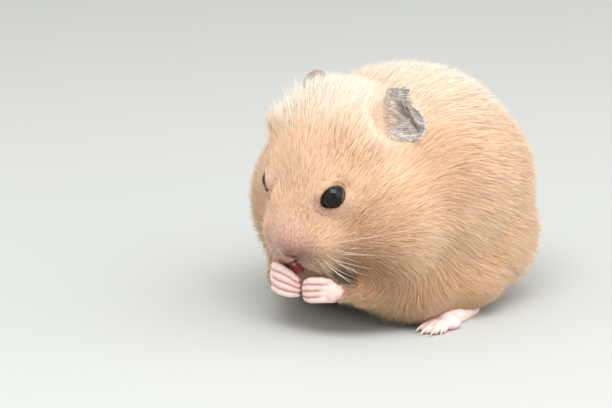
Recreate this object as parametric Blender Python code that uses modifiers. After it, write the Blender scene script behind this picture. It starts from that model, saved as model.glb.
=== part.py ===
"""Syrian hamster, life size, crouched over its own feet with both forepaws raised to its mouth.

Metres, +Z up. The animal faces -Y, its left side is on +X, and it rests on Z = 0. Every part is out
to the tips of the coat. Soft forms are ellipsoids and tapered limbs, fused with a voxel remesh and
thinned. The body is one blended form, parted by egg-shaped regions; nose, ears, eyes, paws, feet and
tail each sit in a hollow of their own. GAP is left between parts that meet.
"""
import math

import bmesh
import bpy
from mathutils import Matrix, Vector

MM = 0.001
GAP = 0.3 * MM
MERGE = 0.01 * MM

# Driving sizes, in millimetres.
EYE_LINE = (0.0, -27.0, 33.0)      # midpoint between the eyes
HEAD_PITCH = math.radians(46)      # how far the skull's axis is bowed down
HEAD_TURN = math.radians(-6)       # how far the head and paws are turned to the animal's right
EYE_CENTRE = (9.5, 0.6, -0.5)      # left eye in the skull's own frame
EYE_RADIUS = 3.0
EYE_SOCKET = 3.4
EAR_ROOT = (12.3, 21.9, -0.9)      # middle of the left ear's root, in the skull's own frame
EAR_WALL = 0.9
PAW_HEIGHT = 10.4                  # middle of the joined forepaws
FINGER_RADIUS = 0.66
# Palm, knuckles, bends and tips of each hand, across and back, for a head that looks straight ahead,
# with how far each lies over or under the hands' middle. The hands meet a little to the left.
HANDS = {
    1: ((8.1, -25.5, 0.9), (7.0, -27.7, 1.4), (4.9, -29.0, 1.1), (3.3, -28.9, 0.6), (2.4, -28.2, 0.2)),
    -1: ((-7.3, -27.4, 0.6), (-6.2, -29.6, 0.9), (-3.4, -30.4, 0.6), (-0.9, -29.7, 0.1), (0.7, -28.6, -0.1)),
}
FINGER_SPREADS = (1.22, 1.15, 1.04, 0.92)
TOE_RADIUS = 1.15
CLAW_LENGTH = 2.0
CLAW_RADIUS = 0.5
CLAW_TIP = 0.27
TAIL_LENGTH = 10.0
MIDDLE = 6.1                       # half way from nose to tail, where the part's origin goes

BODY_TRIANGLES = 1880

COLOURS = {
    "coat": (0.90, 0.64, 0.40, 1.0),
    "bare_skin": (0.78, 0.47, 0.41, 1.0),
    "ear_skin": (0.35, 0.30, 0.29, 1.0),
    "eye": (0.012, 0.008, 0.007, 1.0),
}
ROUGHNESS = {"coat": 0.85, "bare_skin": 0.55, "ear_skin": 0.7, "eye": 0.08}


def clear_scene():
    """An empty file with one collection for the animal."""
    for thing in list(bpy.data.objects):
        bpy.data.objects.remove(thing)
    home = bpy.data.collections.new("syrian_hamster")
    bpy.context.scene.collection.children.link(home)
    return home


def material(kind):
    """The finish named kind, made once."""
    found = bpy.data.materials.get(kind)
    if found:
        return found
    made = bpy.data.materials.new(kind)
    made.use_nodes = True
    shader = made.node_tree.nodes["Principled BSDF"]
    shader.inputs["Base Color"].default_value = COLOURS[kind]
    shader.inputs["Roughness"].default_value = ROUGHNESS[kind]
    return made


# ---------------------------------------------------------------- forms

def add_blob(mesh, centre, radii, turn=(0.0, 0.0, 0.0)):
    """An ellipsoid in millimetres, turned by Euler angles in degrees."""
    euler = Matrix.Rotation(math.radians(turn[2]), 4, "Z")
    euler = euler @ Matrix.Rotation(math.radians(turn[1]), 4, "Y")
    euler = euler @ Matrix.Rotation(math.radians(turn[0]), 4, "X")
    place = Matrix.Translation(Vector(centre)) @ euler @ Matrix.Diagonal((*radii, 1.0))
    bmesh.ops.create_icosphere(mesh, subdivisions=3, radius=1.0, matrix=place)


def add_pair(mesh, centre, radii, turn=(0.0, 0.0, 0.0)):
    """The same ellipsoid on both sides of the midline."""
    add_blob(mesh, centre, radii, turn)
    mirrored = (-centre[0], centre[1], centre[2])
    add_blob(mesh, mirrored, radii, (turn[0], -turn[1], -turn[2]))


def add_limb(mesh, points, radii, beads=7):
    """A rounded limb: a string of close balls along points, their radii easing from one to the next."""
    for start, end, first, last in zip(points, points[1:], radii, radii[1:]):
        start, end = Vector(start), Vector(end)
        for step in range(beads + 1):
            along = step / beads
            radius = first + (last - first) * along
            add_blob(mesh, start.lerp(end, along), (radius, radius, radius))


def head_frame():
    """The skull's own frame, from between the eyes: +Y to the nape and +Z to the crown."""
    turn = Matrix.Rotation(HEAD_TURN, 4, "Z") @ Matrix.Rotation(HEAD_PITCH, 4, "X")
    return Matrix.Translation(Vector(EYE_LINE)) @ turn


def in_head(point):
    """A point of the skull's own frame, placed in the body."""
    return head_frame() @ Vector(point)


def place_head(mesh):
    """Move forms made in the skull's frame to the head's place."""
    bmesh.ops.transform(mesh, matrix=head_frame(), verts=mesh.verts)


def with_head(point):
    """A point given for a head that looks straight ahead, swung round with it."""
    pivot = Vector((EYE_LINE[0], EYE_LINE[1], 0.0))
    return pivot + Matrix.Rotation(HEAD_TURN, 3, "Z") @ (Vector(point) - pivot)


def to_object(name, mesh, home):
    """An object from forms in millimetres, with the origin moved under the animal's middle."""
    bmesh.ops.translate(mesh, vec=(0.0, -MIDDLE, 0.0), verts=mesh.verts)
    bmesh.ops.scale(mesh, vec=(MM, MM, MM), verts=mesh.verts)
    data = bpy.data.meshes.new(name)
    mesh.to_mesh(data)
    mesh.free()
    made = bpy.data.objects.new(name, data)
    home.objects.link(made)
    return made


def settle(thing):
    """Turn an object with its modifiers into a plain mesh."""
    depsgraph = bpy.context.evaluated_depsgraph_get()
    data = bpy.data.meshes.new_from_object(thing.evaluated_get(depsgraph), depsgraph=depsgraph)
    thing.modifiers.clear()
    old = thing.data
    thing.data = data
    bpy.data.meshes.remove(old)
    data.name = thing.name


def triangles(thing):
    """How many triangles an object's mesh holds."""
    return sum(len(face.vertices) - 2 for face in thing.data.polygons)


def fuse(thing, voxel, rounds, target):
    """Blend overlapping forms into one skin, smooth it and thin it to about target triangles."""
    remesh = thing.modifiers.new("fuse", "REMESH")
    remesh.mode = "VOXEL"
    remesh.voxel_size = voxel * MM
    smooth = thing.modifiers.new("smooth", "SMOOTH")
    smooth.factor = 0.5
    smooth.iterations = rounds
    settle(thing)
    thin(thing, target)


def thin(thing, target):
    """Collapse edges until about target triangles are left."""
    share = target / triangles(thing)
    if share < 1.0:
        decimate = thing.modifiers.new("thin", "DECIMATE")
        decimate.ratio = share
        settle(thing)


def grown(thing, distance=GAP):
    """A copy of an object swollen along its normals, for carving its neighbours."""
    copy = thing.copy()
    copy.data = thing.data.copy()
    copy.name = thing.name + "_grown"
    bpy.context.scene.collection.objects.link(copy)
    swell = copy.modifiers.new("swell", "DISPLACE")
    swell.strength = distance
    swell.mid_level = 0.0
    settle(copy)
    return copy


def boolean(thing, other, operation):
    """Apply one Boolean with another object."""
    cut = thing.modifiers.new("cut", "BOOLEAN")
    cut.operation = operation
    cut.solver = "EXACT"
    cut.object = other
    settle(thing)


def carve(thing, cutters):
    """Cut the swollen copy of each neighbour out of an object, then drop slivers."""
    for cutter in cutters:
        boolean(thing, cutter, "DIFFERENCE")
    keep_largest(thing)


def egg(centre, radii, turn=(0.0, 0.0, 0.0)):
    """A plain egg-shaped region, in millimetres, that marks one part off from the body."""
    mesh = bmesh.new()
    place = Matrix.Translation(Vector(centre)) @ Matrix.Rotation(math.radians(turn[0]), 4, "X")
    place = place @ Matrix.Rotation(math.radians(turn[1]), 4, "Y") @ Matrix.Diagonal((*radii, 1.0))
    bmesh.ops.create_uvsphere(mesh, u_segments=12, v_segments=7, radius=1.0, matrix=place)
    return to_object("region", mesh, bpy.context.scene.collection)


def part_off(body, name, region):
    """Take what of the body lies in the region as a part of its own, with GAP between them."""
    piece = body.copy()
    piece.data = body.data.copy()
    piece.name = name
    body.users_collection[0].objects.link(piece)
    boolean(piece, region, "INTERSECT")
    keep_largest(piece)
    wider = grown(region)
    boolean(body, wider, "DIFFERENCE")
    keep_largest(body)
    bpy.data.objects.remove(wider)
    bpy.data.objects.remove(region)
    return piece


def keep_largest(thing):
    """Weld the mesh and delete all but its largest loose piece."""
    mesh = bmesh.new()
    mesh.from_mesh(thing.data)
    bmesh.ops.remove_doubles(mesh, verts=mesh.verts, dist=MERGE)
    unseen = set(mesh.verts)
    islands = []
    while unseen:
        stack = [unseen.pop()]
        island = set(stack)
        while stack:
            for edge in stack.pop().link_edges:
                for vert in edge.verts:
                    if vert in unseen:
                        unseen.discard(vert)
                        island.add(vert)
                        stack.append(vert)
        islands.append(island)
    islands.sort(key=len, reverse=True)
    spare = [vert for island in islands[1:] for vert in island]
    bmesh.ops.delete(mesh, geom=spare, context="VERTS")
    bmesh.ops.triangulate(mesh, faces=mesh.faces)
    mesh.to_mesh(thing.data)
    mesh.free()


def stand_flat(thing, level=0.0):
    """Cut an object off flat at the floor."""
    mesh = bmesh.new()
    mesh.from_mesh(thing.data)
    everything = mesh.verts[:] + mesh.edges[:] + mesh.faces[:]
    bmesh.ops.bisect_plane(
        mesh, geom=everything, plane_co=(0, 0, level), plane_no=(0, 0, 1), clear_inner=True
    )
    rim = [edge for edge in mesh.edges if edge.is_boundary]
    bmesh.ops.holes_fill(mesh, edges=rim, sides=0)
    bmesh.ops.triangulate(mesh, faces=mesh.faces)
    mesh.to_mesh(thing.data)
    mesh.free()


def merge_flats(thing):
    """Join triangles that lie in one plane, then triangulate again with fewer."""
    flat = thing.modifiers.new("flat", "DECIMATE")
    flat.decimate_type = "DISSOLVE"
    flat.angle_limit = math.radians(0.8)
    settle(thing)
    mesh = bmesh.new()
    mesh.from_mesh(thing.data)
    bmesh.ops.triangulate(mesh, faces=mesh.faces)
    mesh.to_mesh(thing.data)
    mesh.free()


def finish(thing, kind):
    """Shade an object smooth, but for its cut edges, and give it its material."""
    thing.data.materials.clear()
    thing.data.materials.append(material(kind))
    thing.data.shade_smooth()
    thing.data.set_sharp_from_angle(angle=math.radians(50))


# ---------------------------------------------------------------- parts

def add_head(mesh):
    """Blunt head: broad crown, full cheeks, short muzzle with a whisker pad each side."""
    head = bmesh.new()
    add_blob(head, (0.0, 12.5, -3.0), (16.2, 16.2, 12.6))
    add_blob(head, (0.0, 17.5, -2.5), (18.6, 12.5, 11.8))
    add_pair(head, (8.2, 7.5, -10.6), (12.2, 11.5, 9.6))
    add_blob(head, (0.0, 13.5, 1.4), (17.0, 10.4, 8.0))
    add_pair(head, (9.4, 14.4, 2.0), (8.3, 9.8, 7.8))
    add_pair(head, (9.3, 10.5, -4.0), (8.8, 9.5, 8.0))
    add_pair(head, (4.2, 1.5, -1.8), (4.7, 9.0, 6.3))
    add_blob(head, (0.0, -4.0, -5.5), (7.2, 10.2, 6.6), (8, 0, 0))
    add_pair(head, (6.0, -4.2, -8.1), (6.7, 8.5, 6.5))
    add_pair(head, (5.7, -8.6, -10.7), (5.2, 5.5, 5.2))
    add_blob(head, (0.0, -3.8, -15.0), (5.0, 6.5, 4.5))
    add_blob(head, (0.2, -11.2, -12.6), (2.6, 2.6, 2.6))
    add_blob(head, (0.0, 8.0, -14.0), (12.0, 11.0, 8.0))
    place_head(head)
    join_into(mesh, head)


def add_neck(mesh):
    """Short thick nape between the crown and the shoulders."""
    add_blob(mesh, (0.0, -8.0, 38.0), (16.0, 12.0, 16.5), (-25, 0, 0))
    add_blob(mesh, (0.0, -13.0, 27.0), (17.5, 10.0, 14.5))


def add_trunk(mesh):
    """Round, heavy body, broadest low down."""
    add_blob(mesh, (0.0, 8.0, 27.0), (29.5, 35.5, 26.5))
    add_blob(mesh, (0.0, 8.0, 36.0), (24.2, 28.5, 20.5))
    add_blob(mesh, (0.0, -3.0, 35.5), (19.0, 19.0, 18.8))
    add_pair(mesh, (12.5, -11.0, 25.5), (13.6, 14.5, 18.5))
    add_blob(mesh, (0.0, -10.0, 17.0), (18.0, 14.0, 13.0))
    add_blob(mesh, (0.0, 9.0, 12.5), (27.0, 30.0, 14.0))
    add_pair(mesh, (12.0, -4.0, 10.0), (13.0, 14.0, 11.0))


def add_haunch(mesh, side):
    """The thigh's bulge low on the flank."""
    add_blob(mesh, (side * 17.5, 17.0, 17.0), (11.0, 17.0, 15.5), (-14, 0, 0))
    add_blob(mesh, (side * 18.5, 9.0, 8.5), (9.5, 11.0, 8.0))


def add_arm(mesh, side):
    """Forearm and elbow, from the wrist back into the chest."""
    points = [wrist(side), (side * 15.0, -17.0, 11.0), (side * 16.5, -8.0, 14.0)]
    add_limb(mesh, points, (2.9, 4.4, 8.0), beads=6)


def wrist(side):
    """Middle of the wrist."""
    return with_head((side * 11.8, -22.6, PAW_HEIGHT - 0.3))


def join_into(mesh, other):
    """Add the forms of one mesh to another."""
    held = bpy.data.meshes.new("held")
    other.to_mesh(held)
    other.free()
    mesh.from_mesh(held)
    bpy.data.meshes.remove(held)


def make_body(home):
    """Head, neck, trunk, arms and haunches, blended into one form."""
    mesh = bmesh.new()
    add_head(mesh)
    add_neck(mesh)
    add_trunk(mesh)
    for side in (1, -1):
        add_haunch(mesh, side)
        add_arm(mesh, side)
    body = to_object("trunk", mesh, home)
    fuse(body, 0.75, 6, BODY_TRIANGLES)
    return body


def make_nose(home):
    """Small bare nose pad with the cleft below it."""
    mesh = bmesh.new()
    add_blob(mesh, (0.0, -13.9, -7.2), (1.7, 1.4, 1.5))
    add_pair(mesh, (1.1, -13.5, -7.7), (1.2, 1.3, 1.2))
    add_blob(mesh, (0.0, -13.3, -9.2), (0.9, 1.1, 1.5))
    place_head(mesh)
    nose = to_object("nose", mesh, home)
    fuse(nose, 0.3, 3, 90)
    return nose


def make_eye(home, side):
    """Round dark eye."""
    name = "eye_left" if side > 0 else "eye_right"
    mesh = bmesh.new()
    centre = in_head((side * EYE_CENTRE[0], *EYE_CENTRE[1:]))
    bmesh.ops.create_uvsphere(
        mesh, u_segments=12, v_segments=7, radius=EYE_RADIUS, matrix=Matrix.Translation(centre)
    )
    return to_object(name, mesh, home)


def sink_socket(body, side):
    """A round socket for the eye, a little wider than it."""
    mesh = bmesh.new()
    centre = in_head((side * EYE_CENTRE[0], *EYE_CENTRE[1:]))
    bmesh.ops.create_uvsphere(
        mesh, u_segments=10, v_segments=6, radius=EYE_SOCKET, matrix=Matrix.Translation(centre)
    )
    cutter = to_object("socket", mesh, bpy.context.scene.collection)
    boolean(body, cutter, "DIFFERENCE")
    bpy.data.objects.remove(cutter)


def ear_point(rise, out, side):
    """A point of the ear's sheet: rise runs -1 bottom to 1 top, out 0 root to 1 rim."""
    notch = 1.4 * math.exp(-((rise - 0.42) / 0.17) ** 2)
    reach = (7.4 - 1.5 * rise - 2.4 * rise * rise - notch) * out + 1.6 * (out - 1.0)
    height = (3.6 + 2.2 * out) * rise + 0.5
    depth = (5.0 - 1.0 * out) * (1.0 - rise * rise) - 0.8
    away = Vector((0.67, 0.74, 0.0))
    back = Vector((-0.74, 0.67, 0.0))
    lean = Vector((0.0, 0.12, 1.0))
    pitch = Matrix.Rotation(HEAD_PITCH, 3, "X")
    root = Vector(EYE_LINE) + pitch @ Vector(EAR_ROOT)
    point = root + away * reach + back * depth + lean * height
    return with_head((side * point.x, point.y, point.z))


def make_ear(home, side):
    """Thin cupped ear, half folded and laid back, with a notch in its upper rim."""
    name = "ear_left" if side > 0 else "ear_right"
    rows, columns = 4, 11
    mesh = bmesh.new()
    grid = []
    for row in range(rows):
        out = row / (rows - 1)
        rises = [1.0 - 2.0 * column / (columns - 1) for column in range(columns)]
        grid.append([mesh.verts.new(ear_point(rise, out, side)) for rise in rises])
    for lower, upper in zip(grid, grid[1:]):
        for column in range(columns - 1):
            corners = [lower[column], lower[column + 1], upper[column + 1], upper[column]]
            mesh.faces.new(corners)
    ear = to_object(name, mesh, home)
    wall = ear.modifiers.new("wall", "SOLIDIFY")
    wall.thickness = EAR_WALL * MM
    wall.offset = 0.0
    settle(ear)
    shell = bmesh.new()
    shell.from_mesh(ear.data)
    bmesh.ops.recalc_face_normals(shell, faces=shell.faces)
    bmesh.ops.triangulate(shell, faces=shell.faces)
    shell.to_mesh(ear.data)
    shell.free()
    return ear


def make_tail(home):
    """Stub of a tail, tipped up a little."""
    mesh = bmesh.new()
    root = Vector((0.0, 35.0, 9.5))
    tip = root + Vector((0.0, TAIL_LENGTH, 0.4))
    add_limb(mesh, [root, root.lerp(tip, 0.5) - Vector((0, 0, 0.6)), tip], (3.0, 2.3, 1.2))
    tail = to_object("tail", mesh, home)
    fuse(tail, 0.4, 3, 80)
    return tail


def add_claw(home, thing, base, tip):
    """Join one small claw to a paw."""
    base, tip = Vector(base), Vector(tip)
    mesh = bmesh.new()
    turn = (tip - base).to_track_quat("Z", "Y").to_matrix().to_4x4()
    place = Matrix.Translation((base + tip) / 2) @ turn
    bmesh.ops.create_cone(
        mesh, cap_ends=True, segments=4, radius1=CLAW_RADIUS, radius2=CLAW_TIP,
        depth=(tip - base).length, matrix=place,
    )
    claw = to_object("claw", mesh, home)
    boolean(thing, claw, "UNION")
    bpy.data.objects.remove(claw)


def make_hindfoot(home, side):
    """Long flat hind foot with five toes, its sole on the floor."""
    name = "hindfoot_left" if side > 0 else "hindfoot_right"
    mesh = bmesh.new()
    heel = Vector((side * 20.0, 8.5, 1.6))
    ball = Vector((side * 22.0, -3.0, 1.4))
    add_limb(mesh, [heel, ball], (2.5, 2.5), beads=6)
    add_blob(mesh, ball, (3.9, 3.2, 1.9))
    toes = []
    for index in range(5):
        spread = math.radians(-32 + 16 * index)
        reach = 6.6 - 0.55 * (index - 2) ** 2
        tip = ball + Vector((side * math.sin(spread) * reach, -math.cos(spread) * reach, -0.5))
        root = ball + Vector((side * math.sin(spread) * 2.2, -1.0, 0.0))
        add_limb(mesh, [root, tip], (TOE_RADIUS + 0.15, TOE_RADIUS - 0.15), beads=6)
        toes.append((tip, (tip - root).normalized()))
    foot = to_object(name, mesh, home)
    fuse(foot, 0.35, 3, 250)
    for tip, way in toes:
        start = tip + way * 0.3 + Vector((0, 0, 0.25))
        add_claw(home, foot, start, start + way * CLAW_LENGTH + Vector((0, 0, -0.35)))
    return foot


def make_forepaw(home, side):
    """Small hand raised to the mouth, four fingers curled in towards the other paw."""
    name = "forepaw_left" if side > 0 else "forepaw_right"
    mesh = bmesh.new()
    across, back, over = HANDS[side][0]
    palm = with_head((across, back, PAW_HEIGHT + over))
    add_blob(mesh, palm, (2.4, 2.0, 2.4))
    add_limb(mesh, [palm, wrist(side)], (2.1, 1.9), beads=5)
    for index in range(4):
        route = [palm]
        for (across, back, over), spread in zip(HANDS[side][1:], FINGER_SPREADS):
            route.append(with_head((across, back, PAW_HEIGHT + over - spread * (index - 1.5))))
        radii = (1.3, FINGER_RADIUS, FINGER_RADIUS, FINGER_RADIUS, 0.56)
        add_limb(mesh, route, radii, beads=4)
    paw = to_object(name, mesh, home)
    fuse(paw, 0.3, 1, 380)
    return paw


def build():
    """Blend the body, part it, then add ears, eyes, nose, paws, feet and tail, each in its own hollow."""
    home = clear_scene()
    body = make_body(home)
    nose = make_nose(home)
    eyes = [make_eye(home, side) for side in (1, -1)]
    ears = [make_ear(home, side) for side in (1, -1)]
    feet = [make_hindfoot(home, side) for side in (1, -1)]
    paws = [make_forepaw(home, side) for side in (1, -1)]
    tail = make_tail(home)
    hollows = [grown(thing) for thing in (nose, *ears, *feet, *paws, tail)]
    for side in (1, -1):
        sink_socket(body, side)
    carve(body, hollows)
    for cutter in hollows:
        bpy.data.objects.remove(cutter)
    limbs = []
    for side, word in ((1, "left"), (-1, "right")):
        arm = egg((side * 17.5, -17.0, 11.5), (9.0, 8.5, 7.5))
        limbs.append(part_off(body, "foreleg_" + word, arm))
        thigh = egg((side * 25.0, 18.0, 13.0), (14.0, 20.5, 19.0), (-12, 0, 0))
        limbs.append(part_off(body, "hindleg_" + word, thigh))
    centre = in_head((0.0, 6.0, -5.0))
    skull = egg(centre, (23.5, 20.5, 23.0))
    head = part_off(body, "head", skull)
    collar = egg(centre + Vector((0.0, 5.0, 0.0)), (26.5, 22.0, 25.5))
    neck = part_off(body, "neck", collar)
    for thing in (body, *feet, *limbs):
        stand_flat(thing)
    for thing in (head, neck, body, tail, *limbs):
        merge_flats(thing)
        finish(thing, "coat")
    for thing in (nose, *paws, *feet):
        finish(thing, "bare_skin")
    for thing in ears:
        finish(thing, "ear_skin")
    for thing in eyes:
        finish(thing, "eye")


build()
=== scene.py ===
"""Looks of the crouched Syrian hamster: one skin with lids, ears, nose, paws and feet, a coat of solid
tufts over it, wet dark eyes, claws and whiskers. The animal faces -Y and its left side is on +X.

Shapes are worked out in millimetres and written to meshes in metres.
"""

import math

import bmesh
import bpy
import numpy as np
from mathutils import Matrix, Vector
from mathutils.bvhtree import BVHTree


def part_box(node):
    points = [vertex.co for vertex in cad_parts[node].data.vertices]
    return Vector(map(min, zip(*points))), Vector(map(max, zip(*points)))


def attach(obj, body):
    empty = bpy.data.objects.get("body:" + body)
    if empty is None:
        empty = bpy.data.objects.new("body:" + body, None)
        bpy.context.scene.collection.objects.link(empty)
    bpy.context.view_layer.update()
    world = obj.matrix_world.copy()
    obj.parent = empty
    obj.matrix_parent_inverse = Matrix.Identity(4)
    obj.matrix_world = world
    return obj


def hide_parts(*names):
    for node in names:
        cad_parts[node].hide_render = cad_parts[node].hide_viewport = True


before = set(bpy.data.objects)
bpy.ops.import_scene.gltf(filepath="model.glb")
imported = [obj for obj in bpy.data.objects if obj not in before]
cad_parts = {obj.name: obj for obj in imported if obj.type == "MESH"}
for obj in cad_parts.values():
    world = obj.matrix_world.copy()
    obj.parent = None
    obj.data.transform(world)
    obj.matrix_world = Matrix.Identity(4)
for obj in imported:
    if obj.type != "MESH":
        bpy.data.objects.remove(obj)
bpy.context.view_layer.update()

MM = 0.001
RNG = np.random.default_rng(7)

# ---------------------------------------------------------------- places read from the frame

HEAD_PITCH = math.radians(46)               # how far the skull's axis is bowed down
EYES_IN_SKULL = np.array((0.0, 0.6, -0.5))  # the eyes' middle, in the skull's own frame
EYE_RADIUS = 3.0


def middle(node):
    """Middle of a node's box, in millimetres."""
    low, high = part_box(node)
    return np.array((low + high) / 2) / MM


EYE_MIDDLE = {1: middle("eye_left"), -1: middle("eye_right")}
EAR_MIDDLE = {1: middle("ear_left"), -1: middle("ear_right")}
ACROSS = EYE_MIDDLE[1] - EYE_MIDDLE[-1]
HEAD_TURN = math.atan2(ACROSS[1], ACROSS[0])
SWING = np.array(Matrix.Rotation(HEAD_TURN, 3, "Z"))
SKULL = SWING @ np.array(Matrix.Rotation(HEAD_PITCH, 3, "X"))
SKULL_ORIGIN = (EYE_MIDDLE[1] + EYE_MIDDLE[-1]) / 2 - SKULL @ EYES_IN_SKULL
PIVOT = np.array((SKULL_ORIGIN[0], SKULL_ORIGIN[1], 0.0))

# Places in the skull's own frame: +X to its left, +Y to the nape, +Z to the crown.
NOSE_TIP = np.array((0.0, -14.2, -7.4))
WHORL = np.array((0.1, -13.6, -8.9))         # where the hair of the face parts
SKULL_CENTRE = np.array((0.0, 8.0, -5.0))
EYE_AXIS = np.array((0.68, -0.46, 0.57))    # where the left eye looks
EAR_ROOT = np.array((12.3, 21.9, -0.9))
PAD = np.array((5.7, -8.6, -10.7))          # middle of the left whisker pad
RIGHT_BRIDGE = np.array((-6.8, -1.6, 2.6))  # where the bridge of the nose drops to the right eye

# Places from under the point between the eyes, swung with the head: +Y back, +Z up from the floor.
PAW_HEIGHT = 10.4
WRIST = np.array((11.8, 4.4, PAW_HEIGHT - 0.3))

# Middle of each palm, and points along its fingers to their tips: across, back from under the eyes, and
# over the hands' middle. The hands meet a little to the animal's left.
PALM = {1: np.array((8.1, 1.5, PAW_HEIGHT + 0.4)), -1: np.array((-7.3, -0.4, PAW_HEIGHT + 1.0))}
FINGERS = {
    1: ((8.0, 1.0, 0.8), (7.0, -0.7, 1.1), (4.9, -2.0, 0.8), (3.2, -1.9, 0.3), (2.1, -1.2, 0.0)),
    -1: ((-7.2, -0.8, 1.2), (-6.0, -2.6, 1.6), (-3.4, -3.4, 1.5), (-0.9, -2.7, 1.0), (0.9, -1.6, 0.4)),
}
FINGER_SPREADS = {1: (1.2, 1.40, 1.42, 1.25, 1.00), -1: (1.35, 1.70, 1.85, 1.65, 1.15)}
FINGER_RADII = (1.0, 0.92, 0.90, 0.78, 0.60)

# Places in the model's own frame.
ELBOW = np.array((16.5, -14.1, 14.0))
HEEL = np.array((20.0, 2.4, 1.6))
BALL = np.array((22.0, -9.1, 1.4))
TAIL_ROOT = middle("tail") - np.array((0.0, 4.0, 0.0))
TAIL_LENGTH = 10.0
TOES = 5
FINGER_COUNT = 4


def unit(vectors):
    """Vectors in rows, made one long."""
    vectors = np.asarray(vectors, float)
    length = np.linalg.norm(vectors, axis=-1, keepdims=True)
    return vectors / np.maximum(length, 1e-9)


def mirrored(point, side):
    """The point, or its mirror image on the animal's right."""
    return np.asarray(point, float) * (side, 1, 1)


def from_skull(points):
    """Points of the skull's frame, placed in the model."""
    return np.asarray(points) @ SKULL.T + SKULL_ORIGIN


def to_skull(points):
    """Points of the model, in the skull's frame."""
    return (np.asarray(points) - SKULL_ORIGIN) @ SKULL


def from_paws(points):
    """Points given from under the eyes, swung with the head and placed in the model."""
    return np.asarray(points) @ SWING.T + PIVOT


def ease(values, low, high):
    """0 below low, 1 above high and smooth between; low may be the larger one."""
    share = np.clip((values - low) / (high - low), 0.0, 1.0)
    return share * share * (3 - 2 * share)


def apart(points, point):
    """Distance of each point from one point."""
    return np.linalg.norm(points - point, axis=-1)


def from_line(points, start, end):
    """Distance of each point from a straight line between two points."""
    along = np.clip((points - start) @ (end - start) / np.dot(end - start, end - start), 0, 1)
    return apart(points, start + along[:, None] * (end - start))


# ---------------------------------------------------------------- shells

# The third mark is the lids' dark rim and also painted shade in the left ear's slit, the nostrils and the top
# of the lips.
MARKS = ("bare", "ear", "lid", "red", "rim")


class Shell:
    """A surface: vertices in millimetres, corners and face sizes, and a few marks on its vertices."""

    def __init__(self, verts, corners, sizes):
        self.verts = np.asarray(verts, float)
        self.corners = np.asarray(corners, int)
        self.sizes = np.asarray(sizes, int)
        self.marks = {name: np.zeros(len(self.verts)) for name in MARKS}

    def links(self):
        """Both ends of each side of each face, and how often each vertex is an end."""
        ends = np.roll(self.corners, -1)
        stops = np.cumsum(self.sizes) - 1
        ends[stops] = self.corners[stops - self.sizes + 1]
        count = len(self.verts)
        often = np.bincount(self.corners, minlength=count) + np.bincount(ends, minlength=count)
        return self.corners, ends, often

    def neighbour_means(self, links):
        """The mean of each vertex's neighbours."""
        here, there, often = links
        count = len(self.verts)
        totals = [np.bincount(here, axis[there], count) + np.bincount(there, axis[here], count)
                  for axis in self.verts.T]
        return np.stack(totals, axis=1) / often[:, None]

    def smooth(self, rounds, weight=0.5):
        """Move each vertex towards the mean of its neighbours."""
        links = self.links()
        weight = np.broadcast_to(weight, len(self.verts))[:, None]
        for _ in range(rounds):
            self.verts += weight * (self.neighbour_means(links) - self.verts)

    def hollowness(self):
        """How far each vertex lies below its neighbours, in millimetres."""
        below = self.neighbour_means(self.links()) - self.verts
        return np.einsum("ij,ij->i", below, self.normals())

    def mesh(self, name):
        """A Blender mesh in metres, shaded smooth."""
        data = bpy.data.meshes.new(name)
        data.vertices.add(len(self.verts))
        data.vertices.foreach_set("co", (self.verts * MM).ravel())
        data.loops.add(len(self.corners))
        data.loops.foreach_set("vertex_index", self.corners)
        data.polygons.add(len(self.sizes))
        data.polygons.foreach_set("loop_start", np.cumsum(self.sizes) - self.sizes)
        data.update(calc_edges=True)
        data.shade_smooth()
        return data

    def normals(self):
        """Unit normals of the vertices."""
        data = self.mesh("measure")
        found = np.zeros(len(self.verts) * 3, np.float32)
        data.vertex_normals.foreach_get("vector", found)
        bpy.data.meshes.remove(data)
        return found.reshape(-1, 3).astype(float)

    def tree(self):
        """A tree for casting rays at the surface."""
        faces = np.split(self.corners, np.cumsum(self.sizes)[:-1])
        return BVHTree.FromPolygons(self.verts.tolist(), [face.tolist() for face in faces])


def shell_of(data):
    """The shell of a Blender mesh."""
    verts = np.zeros(len(data.vertices) * 3, np.float32)
    data.vertices.foreach_get("co", verts)
    corners = np.zeros(len(data.loops), np.int32)
    data.loops.foreach_get("vertex_index", corners)
    sizes = np.zeros(len(data.polygons), np.int32)
    data.polygons.foreach_get("loop_total", sizes)
    return Shell(verts.reshape(-1, 3) / MM, corners, sizes)


def joined(shells):
    """Several shells as one."""
    starts = np.cumsum([0] + [len(shell.verts) for shell in shells[:-1]])
    whole = Shell(
        np.concatenate([shell.verts for shell in shells]),
        np.concatenate([shell.corners + start for shell, start in zip(shells, starts)]),
        np.concatenate([shell.sizes for shell in shells]),
    )
    for name in MARKS:
        whole.marks[name] = np.concatenate([shell.marks[name] for shell in shells])
    return whole


def grid_shell(rows, flip=False, ring=False):
    """A closed shell over closed rows of points: a ring, or else capped by a face at each end."""
    rows = np.asarray(rows, float)
    count, width = rows.shape[:2]
    index = np.arange(count * width).reshape(count, width)
    index = np.concatenate([index, index[:, :1]], axis=1)
    if ring:
        index = np.concatenate([index, index[:1]], axis=0)
    quads = np.stack([index[:-1, :-1], index[:-1, 1:], index[1:, 1:], index[1:, :-1]], axis=-1)
    quads = quads.reshape(-1, 4)
    caps = [] if ring else [index[0, :-1][::-1], index[-1, :-1]]
    if flip:
        quads = quads[:, ::-1]
        caps = [cap[::-1] for cap in caps]
    sizes = np.concatenate([np.full(len(quads), 4), np.full(len(caps), width)])
    return Shell(rows.reshape(-1, 3), np.concatenate([quads.ravel(), *caps]), sizes)


def add_object(name, data):
    """An object in the scene."""
    made = bpy.data.objects.new(name, data)
    bpy.context.scene.collection.objects.link(made)
    return made


def put(name, data, finish):
    """An object in the scene with one material."""
    made = add_object(name, data)
    made.data.materials.clear()
    made.data.materials.append(finish)
    return made


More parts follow.
